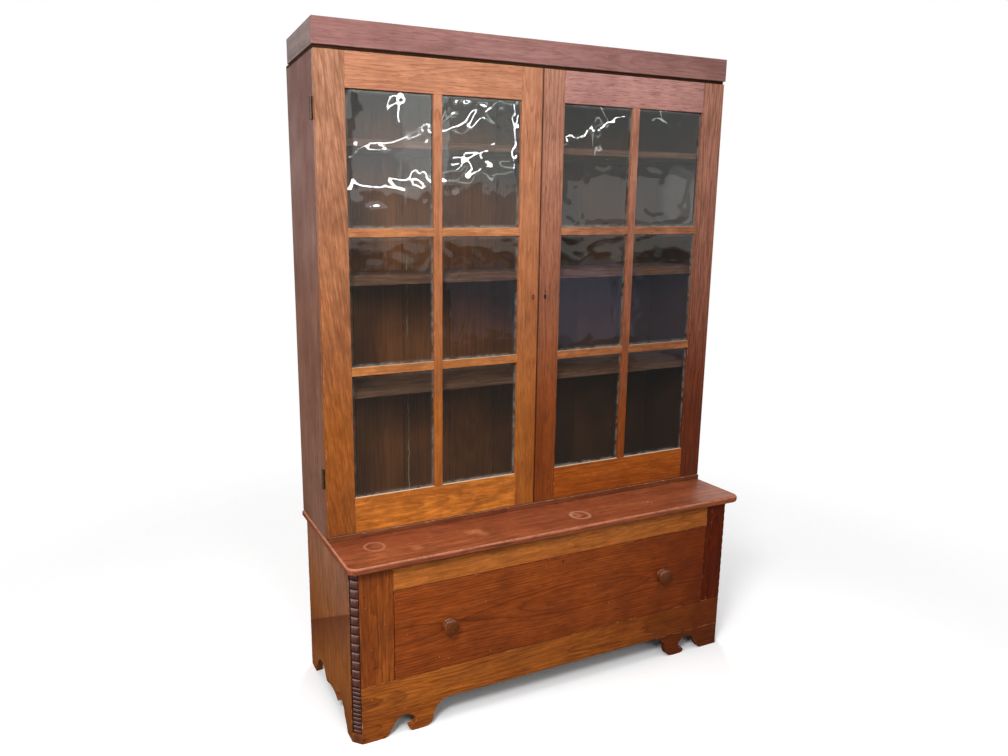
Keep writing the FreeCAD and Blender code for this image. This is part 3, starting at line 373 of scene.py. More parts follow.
# Dark pin knots and a short check near the foot of the left stile
knots = [((x, frame_face, z), 0, width, "#33140a", 0.8) for x, z, width in (
    (-0.684, 0.480, 5), (-0.674, 0.2415, 3.5), (-0.657, 0.244, 5), (-0.651, 0.246, 5))]
# Wax, dirt and painted shade darken the toe below each carved strip
strip_low, strip_high = strip_seats[0]
strip_middle = (strip_low + strip_high) / 2
toe = [((side * strip_middle.x, strip_middle.y, strip_low.z / 2), 0, 34, "#3a2018", 0.8) for side in (1, -1)]
# Satin varnish over fine curled figure, golden on the rails and dark red brown to the right, where the right
# stile, the skirt's right end and the right foot are painted darker as painted shade; small pale chips, and
# arrises rubbed through
plain_sawn = dict(ring=8, heart=(0, 90))
stile_wood = aged_wood(
    "brown varnished walnut stile", "#52230c #934819 #a25821 #b87a4c",
    curl=0.12, nicks=0.7, marks=knots, **plain_sawn)
dark_stile_wood = aged_wood(
    "dark varnished walnut stile", "#300f03 #662107 #74290a #a06a44", **plain_sawn)
rail_wood = aged_wood(
    "golden varnished walnut rail", "#7a4018 #b8682b #cc7c37 #c48a55", curl=0.15, nicks=0.5, **plain_sawn)
skirt_wood = aged_wood(
    "golden brown varnished walnut skirt", "#5a280b #a6581c #b86826 #c79064",
    heart=(0, 60), gloss=0.45, curl=0.12, nicks=0.9, painted_tone="#76330d", painted_span=("X", 0.15, 0.62), marks=toe)
right_foot_wood = aged_wood(
    "red brown varnished walnut foot", "#4a200a #6c2f10 #773716 #b87c5a",
    heart=(0, 60), gloss=0.45, curl=0.12, rubs=(0.4, 0.55), marks=toe)
for node, wood, along in (("front_stile_left", stile_wood, "Z"), ("front_stile_right", dark_stile_wood, "Z"),
                          ("drawer_rail", rail_wood, "X")):
    dress(node, "front_walnut", wood, along, "Y")
for node, wood in (("skirt_rail", skirt_wood), ("bracket_foot_left", skirt_wood),
                   ("bracket_foot_right", right_foot_wood)):
    dress(node, "front_walnut", wood, "X", "Y", shortest=1.0)


# Carved strips let into the chamfered corners: walnut laths cut across into a row of rounded beads,
# tall ones beside the drawer and short ones below it, with old wax gone black in the grooves.
# Waxed by hand: dark beads with a soft gleam on each crown, and dull black between them
carved_wood = aged_wood(
    "carved walnut dark with wax", "#22100b #5a2c22 #704034 #806058",
    ring=4, heart=(0, 30), gloss=0.3, shine=0.6)
groove_wax = aged_wood(
    "black wax in the grooves", "#080403 #140a07 #1a0e0a #2a1a14",
    ring=5, heart=(10, 50), gloss=0.6, shine=0.1)
strip_width, strip_thick, bead_width, bead_groove = 0.033, 0.002, 0.027, 0.003


def repeater(name, output, **inputs):
    """A node tree with named inputs of these kinds and one output, add for it, and its inputs' sockets."""
    tree = bpy.data.node_groups.new(name, "GeometryNodeTree")
    for socket, kind in inputs.items():
        tree.interface.new_socket(socket, in_out="INPUT", socket_type="NodeSocket" + kind)
    tree.interface.new_socket(output, in_out="OUTPUT", socket_type="NodeSocketGeometry")
    put = functools.partial(add, tree)
    return tree, put, put("NodeGroupInput", {}).outputs


def make_real(put, instances, material, output):
    """The end of a node tree: its instances made real, in their material."""
    solid = put("GeometryNodeRealizeInstances", {"Geometry": instances})
    finished = put("GeometryNodeSetMaterial", {"Geometry": solid, "Material": material})
    put("NodeGroupOutput", {output: finished})


def grow(name, tree, given):
    """The mesh that a node tree makes from the values given to its named inputs."""
    holder = blank(name)
    show(holder)
    step = holder.modifiers.new(name, "NODES")
    step.node_group = tree
    for item in tree.interface.items_tree:
        if item.in_out == "INPUT":
            step[item.identifier] = given[item.name]
    bpy.context.view_layer.update()
    made = bpy.data.meshes.new_from_object(holder.evaluated_get(bpy.context.evaluated_depsgraph_get()))
    bpy.data.objects.remove(holder)
    return made


def pattern(name, mesh):
    """A shape that a node tree repeats. It stands in no collection, so it isn't shown itself."""
    shape = blank(name)
    mesh.to_mesh(shape.data)
    mesh.free()
    return shape


def net(mesh, columns, rows, place, back=False):
    """Faces over a net of points, each placed by its share of the way across and up, turned to the
    front or the back. Gives the points round the edge, in order."""
    lines = [[mesh.verts.new(place(i / columns, j / rows)) for i in range(columns + 1)]
             for j in range(rows + 1)]
    for low, high in zip(lines, lines[1:]):
        for i in range(columns):
            face = (low[i], low[i + 1], high[i + 1], high[i])
            mesh.faces.new((low[i],) + face[:0:-1] if back else face)
    left, right = ([line[end] for line in lines] for end in (0, -1))
    return lines[0][:-1] + right[:-1] + lines[-1][:0:-1] + left[:0:-1]


def bead(name, height, swell, across=10, up=8, face_round=2.1, end_round=7):
    """One bead, rounded over its face and its ends, standing out along -Y."""
    def surface(i, j):
        u, v = (math.sin(math.pi * (share - 0.5)) for share in (i, j))
        rise = swell * math.sqrt((1 - abs(v) ** face_round) * (1 - abs(u) ** end_round))
        return u * bead_width / 2, -rise, v * height / 2
    block = bmesh.new()
    block.faces.new(net(block, across, up, surface)[::-1])
    return pattern(name, block)


bead_rows, put, given = repeater("row of carved beads", "Beads", Bead="Object", Count="Int", Start="Float",
                                 Pitch="Float", Seed="Int", Wood="Material")
first = put("CombineXYZ", {"Z": given["Start"]})
gap = put("CombineXYZ", {"Z": given["Pitch"]})
row = put("GeometryNodeMeshLine",
          {"Count": given["Count"], "Start Location": first, "Offset": gap}, mode="OFFSET")
shape = put("GeometryNodeObjectInfo", {"Object": given["Bead"]}).outputs["Geometry"]
# Cut by hand: each bead leans by a degree or so and is a little fuller or flatter than the next
tilt = put("FunctionNodeRandomValue",
           {0: (-0.01, -0.03, 0), 1: (0.01, 0.03, 0), "Seed": given["Seed"]}, data_type="FLOAT_VECTOR")
girth = put("FunctionNodeRandomValue",
            {0: (0.97, 0.85, 0.96), 1: (1, 1, 1.02), "Seed": given["Seed"]}, data_type="FLOAT_VECTOR")
beads = put("GeometryNodeInstanceOnPoints",
            {"Points": row, "Instance": shape, "Rotation": tilt, "Scale": girth})
make_real(put, beads, given["Wood"], "Beads")

skirt_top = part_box("skirt_rail")[1].z
short_beads, short_swell, tall_beads, tall_swell = 11, 0.0026, 13, 0.0036
strip_grain_step = 5.3
for seed, (node, turn) in enumerate((("carved_corner_left", -45), ("carved_corner_right", 45))):
    low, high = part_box(node)
    length = high.z - low.z
    reach = strip_width / 2 * math.cos(math.radians(45))
    middle_x = high.x - reach if turn < 0 else low.x + reach
    lie = Matrix.Translation((middle_x, high.y - reach, low.z)) @ Matrix.Rotation(math.radians(turn), 4, "Z")
    strip = bmesh.new()
    lath = bmesh.ops.create_cube(strip, size=1.0)["verts"]
    bmesh.ops.scale(strip, verts=lath, vec=(strip_width, strip_thick, length))
    bmesh.ops.translate(strip, verts=lath, vec=(0, -strip_thick / 2, length / 2))
    grooves = set(strip.faces)
    for count, start, end, swell in ((short_beads, low.z, skirt_top, short_swell),
                                     (tall_beads, skirt_top, high.z, tall_swell)):
        pitch = (end - start) / count
        cut = bead(f"{node} bead", pitch - bead_groove, swell)
        row = grow(f"{node} row", bead_rows, {"Bead": cut, "Count": count, "Start": start - low.z + pitch / 2,
                                              "Pitch": pitch, "Seed": seed, "Wood": carved_wood})
        row.transform(Matrix.Translation((0, -strip_thick, 0)))
        strip.from_mesh(row)
        bpy.data.objects.remove(cut)
    for part in strip.faces:
        part.material_index = int(part in grooves)
    grain = strip.verts.layers.float_vector.new("grain")
    for point in strip.verts:
        point[grain] = Vector((point.co.z + strip_grain_step * seed, point.co.x, point.co.y))
    bmesh.ops.transform(strip, matrix=lie, verts=strip.verts)
    bmesh.ops.recalc_face_normals(strip, faces=strip.faces)
    stand_in(strip, node, "carved", [carved_wood, groove_wax], crease=60)


# Step board: a wide polished walnut top with a rounded edge, nailed down on the lower case.
# Its edge is rubbed pale, with a painted highlight, and cups, paint and damp have left their marks on it.
step_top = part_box("step_board")[1].z
# Two pale rings left by wet cups, two white specks of paint, varnish worn thin, and a dark stain
step_marks = [((x, y, step_top), radius, width, tone, share) for radius, width, tone, share, *places in (
    (30, 6, "#b98266", 0.4, (-0.614, -0.130)), (8, 12, "#a9704f", 0.15, (-0.606, -0.126)),
    (32, 8, "#c48f74", 0.45, (0.104, -0.175)), (12, 10, "#c48f74", 0.3, (0.088, -0.172)),
    (0, 2.5, "#f0dcc8", 0.9, (0.393, -0.172), (0.401, -0.181)),
    (0, 24, "#c07a52", 0.4, (-0.300, -0.151), (-0.272, -0.152), (-0.270, -0.178)),
    (0, 24, "#b8744e", 0.4, (-0.495, -0.190)),
    (0, 24, "#3a2420", 0.4, (-0.402, -0.106), (-0.384, -0.110))) for x, y in places]
# Hand polish over red brown figure: a broad soft sheen, and a pale line along the top of the rounded edge,
# rubbed wood with a painted highlight
step_wood = aged_wood(
    "polished walnut step", "#4c1e0e #8c472a #a55c39 #a6694b",
    ring=7, heart=(0, 70), gloss=0.36, shine=0.22, curl=0.1, nicks=0.5, rubs=(0.2, 0.5), marks=step_marks)
dress("step_board", "step_walnut", step_wood, "X", "Z", arris=0, polished=(0.55, 0.9))


# Upper case: varnished walnut sides and base rail. A bare poplar bottom and shelves are housed in the
# sides, and a poplar top board is lapped over them.
inner_face = -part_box("upper_side_right")[0].x
# Varnish bleached to a dull pinkish brown and darker towards the top; the inner faces were never varnished
# and have gone dark
for hand, inward in (("left", (1, 0, 0)), ("right", (-1, 0, 0))):
    side_wood = aged_wood(
        f"dull pinkish varnished walnut {hand} side", "#4e3026 #835b49 #916959 #94766a",
        ring=9, heart=(20, 70), shine=0.1, painted_tone="#6f463d", painted_span=("Z", 1.15, 2.0),
        dark_band=(inward, inner_face, 0.004, "#3a1a14", 0.85))
    dress(f"upper_side_{hand}", "case_walnut", side_wood, "Z", "X")
# Brown satin varnish with a little dust and painted highlight along the ledge
base_wood = aged_wood(
    "brown varnished walnut base rail", "#45200f #753c20 #83482a #c99a80",
    ring=7, heart=(0, 70), gloss=0.4, dust_and_highlight=0.1)
dress("base_rail", "left_door_walnut", base_wood, "X", "Y")
# Dry and matt: a greyish bloom of dust on the shelves with a painted reflection of the panes over it, and the
# top painted near black as painted shadow under the cornice
shelf_wood = aged_wood(
    "bare poplar shelf greyed with painted reflection", "#4a3024 #8b5c4a #9c6b58 #a88a76", **bare_poplar)
for node in ("shelf_upper", "shelf_middle", "shelf_lower", "upper_bottom_board"):
    dress(node, "inside_poplar", shelf_wood, "X", "Z")
top_wood = aged_wood(
    "bare poplar darkened as painted shadow", "#1c0e08 #33200f #3e2816 #54402c",
    ring=7, heart=(0, 80), gloss=0.75, shine=0.08)
dress("upper_top_board", "inside_poplar", top_wood, "X", "Z")


# Upper back boards: upright bare poplar boards, tongued together and nailed on behind. Paint has
# dripped down inside along one joint.
# Matt and uneven, each board of its own depth of colour and all darker towards the right, a painted shade
back_wood = aged_wood(
    "bare poplar back boards browned by age", "#4a2712 #96532a #b0683a #946644",
    lines=0.3, fibres=0.25, pores=0.2, vary=0.25, drip=-0.345, painted_tone="#562e17", painted_span=("X", -0.4, 0.5),
    **bare_poplar)
dress("upper_back_boards", "inside_poplar", back_wood, "Z", "Y", arris=1.6, sunk=back_planed)


# Cornice: a plain walnut board across the front and two returns behind it, butted at the corners
# and nailed on above the doors.
# Thin varnish bleached to pink, with quiet grain; greyer on the returns, a painted sheen where they face the
# side
cornice_wood = aged_wood(
    "pink varnished walnut cornice", "#5e3934 #825954 #8f6660 #a58480",
    ring=7, heart=(0, 60), lines=0.3, fibres=0.3)
return_wood = aged_wood(
    "varnished walnut cornice return greyed by painted sheen", "#4d3832 #705a55 #7d6661 #9a8680", ring=7, heart=(0, 60))
dress("cornice_front", "cornice_walnut", cornice_wood, "X", "Y")
dress("cornice_returns", "cornice_walnut", return_wood, "Y", "X")


# Glazed doors: walnut stiles and rails tenoned together, with glazing bars halved over each other
# and tenoned into them, all varnished. They hang on butt hinges and lock where they meet.
door_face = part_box("left_hinge_stile")[0].y
lock_height = sum(corner.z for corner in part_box("left_lock_case")) / 2
# Painted shade darkens the slotted keyholes, and a screw hole over the right one
left_keyhole, right_keyhole = [
    [((x, door_face, lock_height - drop), 0, width, "#160804", 0.95) for drop, width in rounds]
    for x, rounds in ((-0.0205, ((0.0, 6), (0.004, 6), (0.008, 6))),
                      (0.0255, ((0.0, 6.5), (0.004, 6.5), (0.008, 6), (-0.014, 4))))]
# Grime and painted shade along the meeting edges of the doors, in the gap between them
left_gap_grime_and_shade, right_gap_grime_and_shade = [((way, 0, 0), 0.0, depth, "#2a1006", 0.95)
                           for way, depth in ((1, 0.006), (-1, 0.005))]
# Orange to red brown satin varnish, paler and pinker towards the top as painted sheen, with dust and a
# painted highlight on the ledges; the right door's darker tones are in part painted shade
quiet = dict(lines=0.35, fibres=0.3, curl=0.08, dust_and_highlight=0.6)
left_door_wood = aged_wood(
    "orange brown varnished walnut door", "#6e3410 #9a561f #ab662c #c08a5c",
    painted_tone="#ad775a", marks=left_keyhole, dark_band=left_gap_grime_and_shade, **quiet)
right_door_wood = aged_wood(
    "red brown varnished walnut door", "#4e200b #7e3c13 #8c481c #b07a55",
    painted_tone="#aa7862", marks=right_keyhole, dark_band=right_gap_grime_and_shade, **quiet)
pink_rail_wood = aged_wood(
    "walnut top rail with painted sheen", "#52220c #854117 #934d20 #b07a55",
    lines=0.2, fibres=0.15, curl=0.08, painted_tone="#ab7d76")
dark_door_wood = aged_wood(
    "dark varnished walnut door stile", "#3a160a #6a2f17 #773a20 #9a6a50", painted_tone="#b47c66")
# The left hinge stile was cut near a crotch, and its fibres lean and ripple
ripple_wood = aged_wood(
    "rippled orange brown walnut stile", "#68310f #8f4f1e #a05f2a #c08a5c",
    lines=0.35, slant=0.14, curl=0.18, painted_tone="#9c7258")
# The low rails have no painted sheen towards the top, and their curled figure shimmers
gold_rail_wood = aged_wood(
    "golden figured walnut rail", "#884717 #bb6c29 #d38535 #dcae80", curl=0.3, dust_and_highlight=0.7, **plain_sawn)
orange_rail_wood = aged_wood(
    "orange varnished walnut rail", "#6a2e08 #954913 #a9591b #c89468", curl=0.15, dust_and_highlight=0.7, **plain_sawn)
left_bar_wood = aged_wood(
    "golden varnished walnut glazing bar", "#743c18 #a9662c #b77439 #c89868",
    lines=0.3, fibres=0.4, curl=0.2, dust_and_highlight=0.5, painted_tone="#b07a58")
right_bar_wood = aged_wood(
    "brown varnished walnut glazing bar", "#5e2e14 #945628 #a06333 #b88c64",
    lines=0.3, fibres=0.4, curl=0.2, dust_and_highlight=0.4, painted_tone="#9a6a55")
for side, wood, outer_wood, head_wood, low_wood, bar_wood in (
        ("left", left_door_wood, ripple_wood, left_door_wood, gold_rail_wood, left_bar_wood),
        ("right", right_door_wood, dark_door_wood, pink_rail_wood, orange_rail_wood, right_bar_wood)):
    for part, kind, along in (("hinge_stile", outer_wood, "Z"), ("meeting_stile", wood, "Z"),
                              ("upright_bar", wood, "Z"), ("top_rail", head_wood, "X"),
                              ("bottom_rail", low_wood, "X"), ("cross_bars", bar_wood, "X")):
        dress(f"{side}_{part}", f"{side}_door_walnut", kind, along, "Y")


# Panes and putty: drawn window glass, wavy with age, laid in the door rebates from behind and held
# by a bead of putty that has set hard and brown.
old_glass, put, spot = fresh_material("wavy drawn window glass")
# Clear with a faint grey green cast, its IOR set by how strongly the panes mirror. A thin pane passes
# lamp light straight through. Dirt clouds it along the bars, in smears of 20 mm
near_bar = put("Attribute", {}, attribute_name="rim").outputs["Fac"]
smear = put("TexNoise", {"Vector": spot, "Scale": 45.0, "Detail": 4.0})
caked = put("MapRange", {0: smear, 1: 0.35, 2: 0.65, 3: 0.0, 4: 0.13})
film = put("Math", {0: caked, 1: near_bar}, "MULTIPLY")
clear_share = put("Math", {0: 0.99, 1: film}, "SUBTRACT")
sheet = put("BsdfPrincipled", {"Base Color": "#cdd2cf", "Roughness": 0.0, "IOR": 1.36,
                               "Transmission Weight": clear_share})
passing = put("BsdfTransparent", {"Color": "#e4e8e2"})
ray = put("LightPath", {}).outputs
# A refracted ray counts as glossy too, so only what is left is a mirror image
mirrored = put("Math", {0: ray["Is Glossy Ray"], 1: ray["Is Transmission Ray"]}, "SUBTRACT", use_clamp=True)
for kind in (ray["Is Shadow Ray"], ray["Is Diffuse Ray"], mirrored):
    sheet = put("MixShader", {0: kind, 1: sheet, 2: passing})
put("OutputMaterial", {"Surface": sheet})

set_putty, put, spot = fresh_material("hardened brown putty")
# Dry and crusted, in lumps of about 6 mm from pale to dark brown
lump = put("TexNoise", {"Vector": spot, "Scale": 160.0, "Detail": 4.0})
tone = put("Mix", {0: lump, 6: "#3a2a1c", 7: "#6a5138"}, data_type="RGBA")
crust = put("Bump", {"Height": lump, "Strength": 0.5, "Distance": 0.0008})
dry = put("BsdfPrincipled",
          {"Base Color": tone, "Roughness": 0.85, "Normal": crust, "Specular IOR Level": 0.2})
put("OutputMaterial", {"Surface": dry})


# Swirls in a metre; then the long and the short waves: how many in a metre across and up, how far a
# swirl bends them, their place in the noise, and their height in metres
swirls = 12
glass_waves = ((9, 11, 0.7, 0.6, 7.3, 0.0006), (30, 34, 1.0, 1.0, 3.1, 0.00028))


def wave(x, z, kind):
    """How far the drawn glass lies off flat, in metres."""
    swirl = noise.noise(Vector((x * swirls, z * swirls, kind)))
    return sum(height * noise.noise(Vector((x * across + swirl * aside, z * up - swirl * rise, kind + place)))
               for across, up, aside, rise, place, height in glass_waves)


def boxes(node):
    """The lowest and highest corner of each separate piece of a CAD node, in order."""
    cad = cad_copy(node)
    found = [corners(part) for part in islands(cad)]
    cad.free()
    return sorted(found, key=lambda box: box[0][:])


# Sizes in metres: the mesh of a pane, the flat edge in the rebate, the reach over which waves begin,
# and how far dirt reaches in and fades. Each pane has waves of its own, nearly alike on both faces
pane_mesh, flat_edge, wave_start, dirt_reach, dirt_fade = 0.005, 0.008, 0.02, 0.016, 0.006
next_pane, rear_drift = 1.7, 0.15


def lay_pane(sheets, rim, low, high, kind):
    """One wavy pane between two corners, and how much dirt lies along its rim."""
    def inset(x, z):
        return min(x - low.x, high.x - x, z - low.z, high.z - z)

    def surface(i, j, lie, kind):
        x = low.x + (high.x - low.x) * i
        z = low.z + (high.z - low.z) * j
        slack = min(1.0, max(0.0, (inset(x, z) - flat_edge) / wave_start))
        return x, lie + slack * wave(x, z, kind), z

    earlier = len(sheets.verts)
    columns = round((high.x - low.x) / pane_mesh)
    rows = round((high.z - low.z) / pane_mesh)
    front = net(sheets, columns, rows, lambda i, j: surface(i, j, low.y, kind))
    rear = net(sheets, columns, rows, lambda i, j: surface(i, j, high.y, kind + rear_drift), back=True)
    for k in range(len(front)):
        sheets.faces.new((front[k - 1], rear[k - 1], rear[k], front[k]))
    for point in list(sheets.verts)[earlier:]:
        point[rim] = min(1.0, max(0.0, (dirt_reach - inset(point.co.x, point.co.z)) / dirt_fade))


for side in ("left", "right"):
    sheets = bmesh.new()
    rim = sheets.verts.layers.float.new("rim")
    for number, (low, high) in enumerate(boxes(side + "_panes")):
        lay_pane(sheets, rim, low, high, number * next_pane)
    bmesh.ops.recalc_face_normals(sheets, faces=sheets.faces)
    stand_in(sheets, side + "_panes", "wavy", [old_glass])
    dress(side + "_putty", "putty", set_putty, "Z", "Y", arris=0)


# Hinges, locks and bolts: wrought iron butts riveted on their pins, an iron box lock in each of the
# left door and the drawer, and a sliding bolt on the right door, all rubbed dark.
rubbed_iron, put, spot = fresh_material("rubbed wrought iron")
# Black oxide with brown rust in patches of 10 mm, brighter on worn arrises; pitting about 1 mm across
bare = put("Attribute", {}, attribute_name="worn").outputs["Fac"]
patch = put("TexNoise", {"Vector": spot, "Scale": 90.0, "Detail": 5.0})
pits = put("TexNoise", {"Vector": spot, "Scale": 900.0, "Detail": 2.0})
rust = put("MapRange", {0: patch, 1: 0.45, 2: 0.65, 4: 0.8})
tone = put("Mix", {0: rust, 6: "#3d3630", 7: "#5a4230"}, data_type="RGBA")
rub = put("Math", {0: bare, 1: patch}, "MULTIPLY")
tone = put("Mix", {0: rub, 6: tone, 7: "#8a8480"}, data_type="RGBA")
rough = put("MapRange", {0: patch, 1: 0.3, 2: 0.7, 3: 0.42, 4: 0.68})
pitted = put("Bump", {"Height": pits, "Strength": 0.3, "Distance": 0.0003})
metal = put("BsdfPrincipled",
            {"Base Color": tone, "Roughness": rough, "Metallic": 0.85, "Normal": pitted})
put("OutputMaterial", {"Surface": metal})
filed = dict(arris=0.35, shortest=1.5)
for node in ("case_hinge_leaves", "left_hinge_leaves", "right_hinge_leaves", "left_lock_case",
             "left_lock_bolt", "right_bolt_plate", "right_top_bolt"):
    dress(node, "old_iron", rubbed_iron, "Z", "Y", **filed)


# Screws and nails: slotted iron screws hold the hinge leaves, locks and bolt plate, and cut nails
# with rough square heads hold the back boards to the case from behind.
def screw_head(name, radius=0.0034, proud=0.00025, slot=0.0009, taper=0.9, slot_share=0.9):
    """A slotted head, a little proud of the plate, facing +Z."""
    head = bmesh.new()
    bmesh.ops.create_cone(head, cap_ends=True, segments=20, radius1=radius, radius2=radius * taper,
                          depth=proud)
    bmesh.ops.translate(head, verts=head.verts, vec=(0, 0, proud / 2))
    for side in (-slot / 2, slot / 2):
        bmesh.ops.bisect_plane(head, geom=head.verts[:] + head.edges[:] + head.faces[:],
                               plane_co=(0, side, 0), plane_no=(0, 1, 0))
    worn = head.faces.layers.float.new("worn")
    slot_depth = proud * slot_share
    cut = []
    for part in head.faces:
        middle = part.calc_center_median()
        part[worn] = 0.5
        if middle.z > slot_depth and abs(middle.y) < slot / 4:
            part[worn] = 0.0
            cut.append(part)
    sunk = bmesh.ops.extrude_discrete_faces(head, faces=cut)["faces"]
    bottom = [point for part in sunk for point in part.verts]
    bmesh.ops.translate(head, verts=bottom, vec=(0, 0, -slot_depth))
    return pattern(name, head)


def nail_head(name, length=0.0075, width=0.005, proud=0.00035, hammered=0.7):
    """A cut nail's flat head, hammered smaller on top, facing +Z."""
    head = bmesh.new()
    bmesh.ops.create_cube(head, size=1.0)
    worn = head.faces.layers.float.new("worn")
    for part in head.faces:
        part[worn] = 0.3
    for point in head.verts:
        taper = hammered if point.co.z > 0 else 1.0
        x, y, z = point.co
        point.co = Vector((x * length * taper, y * width * taper, (z + 0.5) * proud))
    return pattern(name, head)


fixings, put, given = repeater("screw and nail heads", "Heads", Places="Object", Head="Object",
                               Facing="Vector", Spin="Float", Seed="Int", Iron="Material")
places, shape = [put("GeometryNodeObjectInfo", {"Object": given[name]}).outputs["Geometry"]
                 for name in ("Places", "Head")]
heads = put("GeometryNodeInstanceOnPoints",
            {"Points": places, "Instance": shape, "Rotation": given["Facing"]})
angle = put("FunctionNodeRandomValue", {2: 0.0, 3: given["Spin"], "Seed": given["Seed"]},
            data_type="FLOAT")
spin = put("CombineXYZ", {"Z": angle})
driven = put("GeometryNodeRotateInstances", {"Instances": heads, "Rotation": spin})
make_real(put, driven, given["Iron"], "Heads")

# In radians: a screw's slot stops anywhere in half a turn, and a nail is set within 40 degrees
screw_spin, nail_spin = 3.1, 0.7


def drive(name, body, head, spots, seed, spin=screw_spin, forward=False):
    """Heads at these places on one body, facing the back of the cupboard, or its front."""
    dots = blank(name + " places")
    dots.data.from_pydata(spots, [], [])
    facing = (math.radians(90 if forward else -90), 0, 0)
    made = grow(name, fixings, {"Places": dots, "Head": head, "Facing": facing, "Spin": spin, "Seed": seed,
                                "Iron": rubbed_iron})
    bpy.data.objects.remove(dots)
    piece = bpy.data.objects.new(name, made)
    show(piece)
    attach(piece, body)


# Screw places in metres: up and down a hinge leaf and in from its edge, then on the locks and the plate
leaf_pitch, outer_inset, middle_inset = 0.021, 0.010, 0.006
lock_inset, plate_inset, plate_pitch, plate_thick = 0.006, 0.004, 0.022, 0.002


def leaf_screws(node, face):
    """Three screws in each hinge leaf, the middle one nearer to its free edge."""
    spots = []
    for low, high in boxes(node):
        inward = 1 if low.x < 0 else -1
        edge = high.x if low.x < 0 else low.x
        for step, inset in ((-leaf_pitch, outer_inset), (0.0, middle_inset), (leaf_pitch, outer_inset)):
            spots.append((edge - inward * inset, face, (low.z + high.z) / 2 + step))
    return spots


def lock_screws(node):
    """A screw in each corner of a lock case's back."""
    low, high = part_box(node)
    return [(x, high.y, z) for x in (low.x + lock_inset, high.x - lock_inset)
            for z in (low.z + lock_inset, high.z - lock_inset)]


screw = screw_head("slotted screw")
small_screw = screw_head("small slotted screw", radius=0.0022, slot=0.0007)
nail = nail_head("cut nail")
case_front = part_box("upper_side_left")[0].y
door_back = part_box("left_hinge_stile")[1].y
drive("case_hinge_screws", "case", screw, leaf_screws("case_hinge_leaves", case_front), 1, forward=True)
drive("left_hinge_screws", "left_door", screw, leaf_screws("left_hinge_leaves", door_back), 2)
drive("right_hinge_screws", "right_door", screw, leaf_screws("right_hinge_leaves", door_back), 3)
drive("left_lock_screws", "left_door", small_screw, lock_screws("left_lock_case"), 4)
plate_low, plate_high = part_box("right_bolt_plate")
plate_middle = (plate_low.z + plate_high.z) / 2
drive("bolt_plate_screws", "right_door", small_screw,
      [(x, door_back + plate_thick, plate_middle + step)
       for x in (plate_low.x + plate_inset, plate_high.x - plate_inset)
       for step in (-plate_pitch, plate_pitch)], 6)

# Two nails through each upright board into every shelf, and two through each end of a level one
shelf_lines = [(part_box(node)[0].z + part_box(node)[1].z) / 2 for node in (
    "upper_top_board", "shelf_upper", "shelf_middle", "shelf_lower", "upper_bottom_board")]
nail_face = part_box("upper_back_boards")[1].y - back_planed / 1000
upright = [(low.x + (high.x - low.x) * share, nail_face, z) for low, high in boxes("upper_back_boards")
           for share in (0.2, 0.8) for z in shelf_lines]
drive("upper_back_nails", "case", nail, upright, 7, spin=nail_spin)
side_low, side_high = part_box("lower_side_left")
end_in = (side_low.x + side_high.x) / 2
level = [(x, nail_face, low.z + (high.z - low.z) * share) for low, high in boxes("lower_back_boards")
         for x in (end_in, -end_in) for share in (0.25, 0.75)]
drive("lower_back_nails", "case", nail, level, 8, spin=nail_spin)


# Drawer: a walnut front dovetailed to poplar sides, with a poplar back and a bottom held in grooves.
# It runs on its sides and has no guides of its own.
# Red brown satin varnish over tall arches of figure, darker to the right as painted shade, and chipped in
# places
drawer_wood = aged_wood(
    "figured walnut drawer front", "#52210a #924316 #a2501e #c08a60",
    ring=8, heart=(10, 80), wander=(40, 70), figure=0.75, lines=0.55, fibres=0.38, curl=0.1, nicks=0.9,
    painted_tone="#762f0c", painted_span=("X", 0.2, 0.65))
dress("drawer_front", "front_walnut", drawer_wood, "X", "Y")
# Pale dry wood that has seen little light
drawer_box_wood = aged_wood(
    "bare planed poplar", "#6a4f2c #9a7a4e #ad8d60 #b89a70", ring=7, heart=(0, 80), gloss=0.65, shine=0.15)
for node, along, face in (("drawer_side_left", "Y", "X"), ("drawer_side_right", "Y", "X"),
                          ("drawer_back", "X", "Y"), ("drawer_bottom", "X", "Z")):
    dress(node, "drawer_poplar", drawer_box_wood, along, face)


# Drawer lock: an iron box lock let into the back of the drawer front and held by four small screws,
# with its bolt rising into the rail.
for node in ("drawer_lock_case", "drawer_lock_bolt"):
    dress(node, "old_iron", rubbed_iron, "Z", "Y", **filed)
drive("drawer_lock_screws", "drawer", small_screw, lock_screws("drawer_lock_case"), 5)


# Drawer knobs: turned from walnut in one piece, a flat collar and a domed head, each with a stem
# glued through the drawer front.
# Handled smooth: a dark, tight gloss with fine rings round the dome
knob_wood = aged_wood(
    "turned walnut knob", "#3a1807 #6a3412 #7a3f18 #a0765a",
    ring=3, heart=(5, 12), wander=(3, 4), gloss=0.26, shine=0.5)
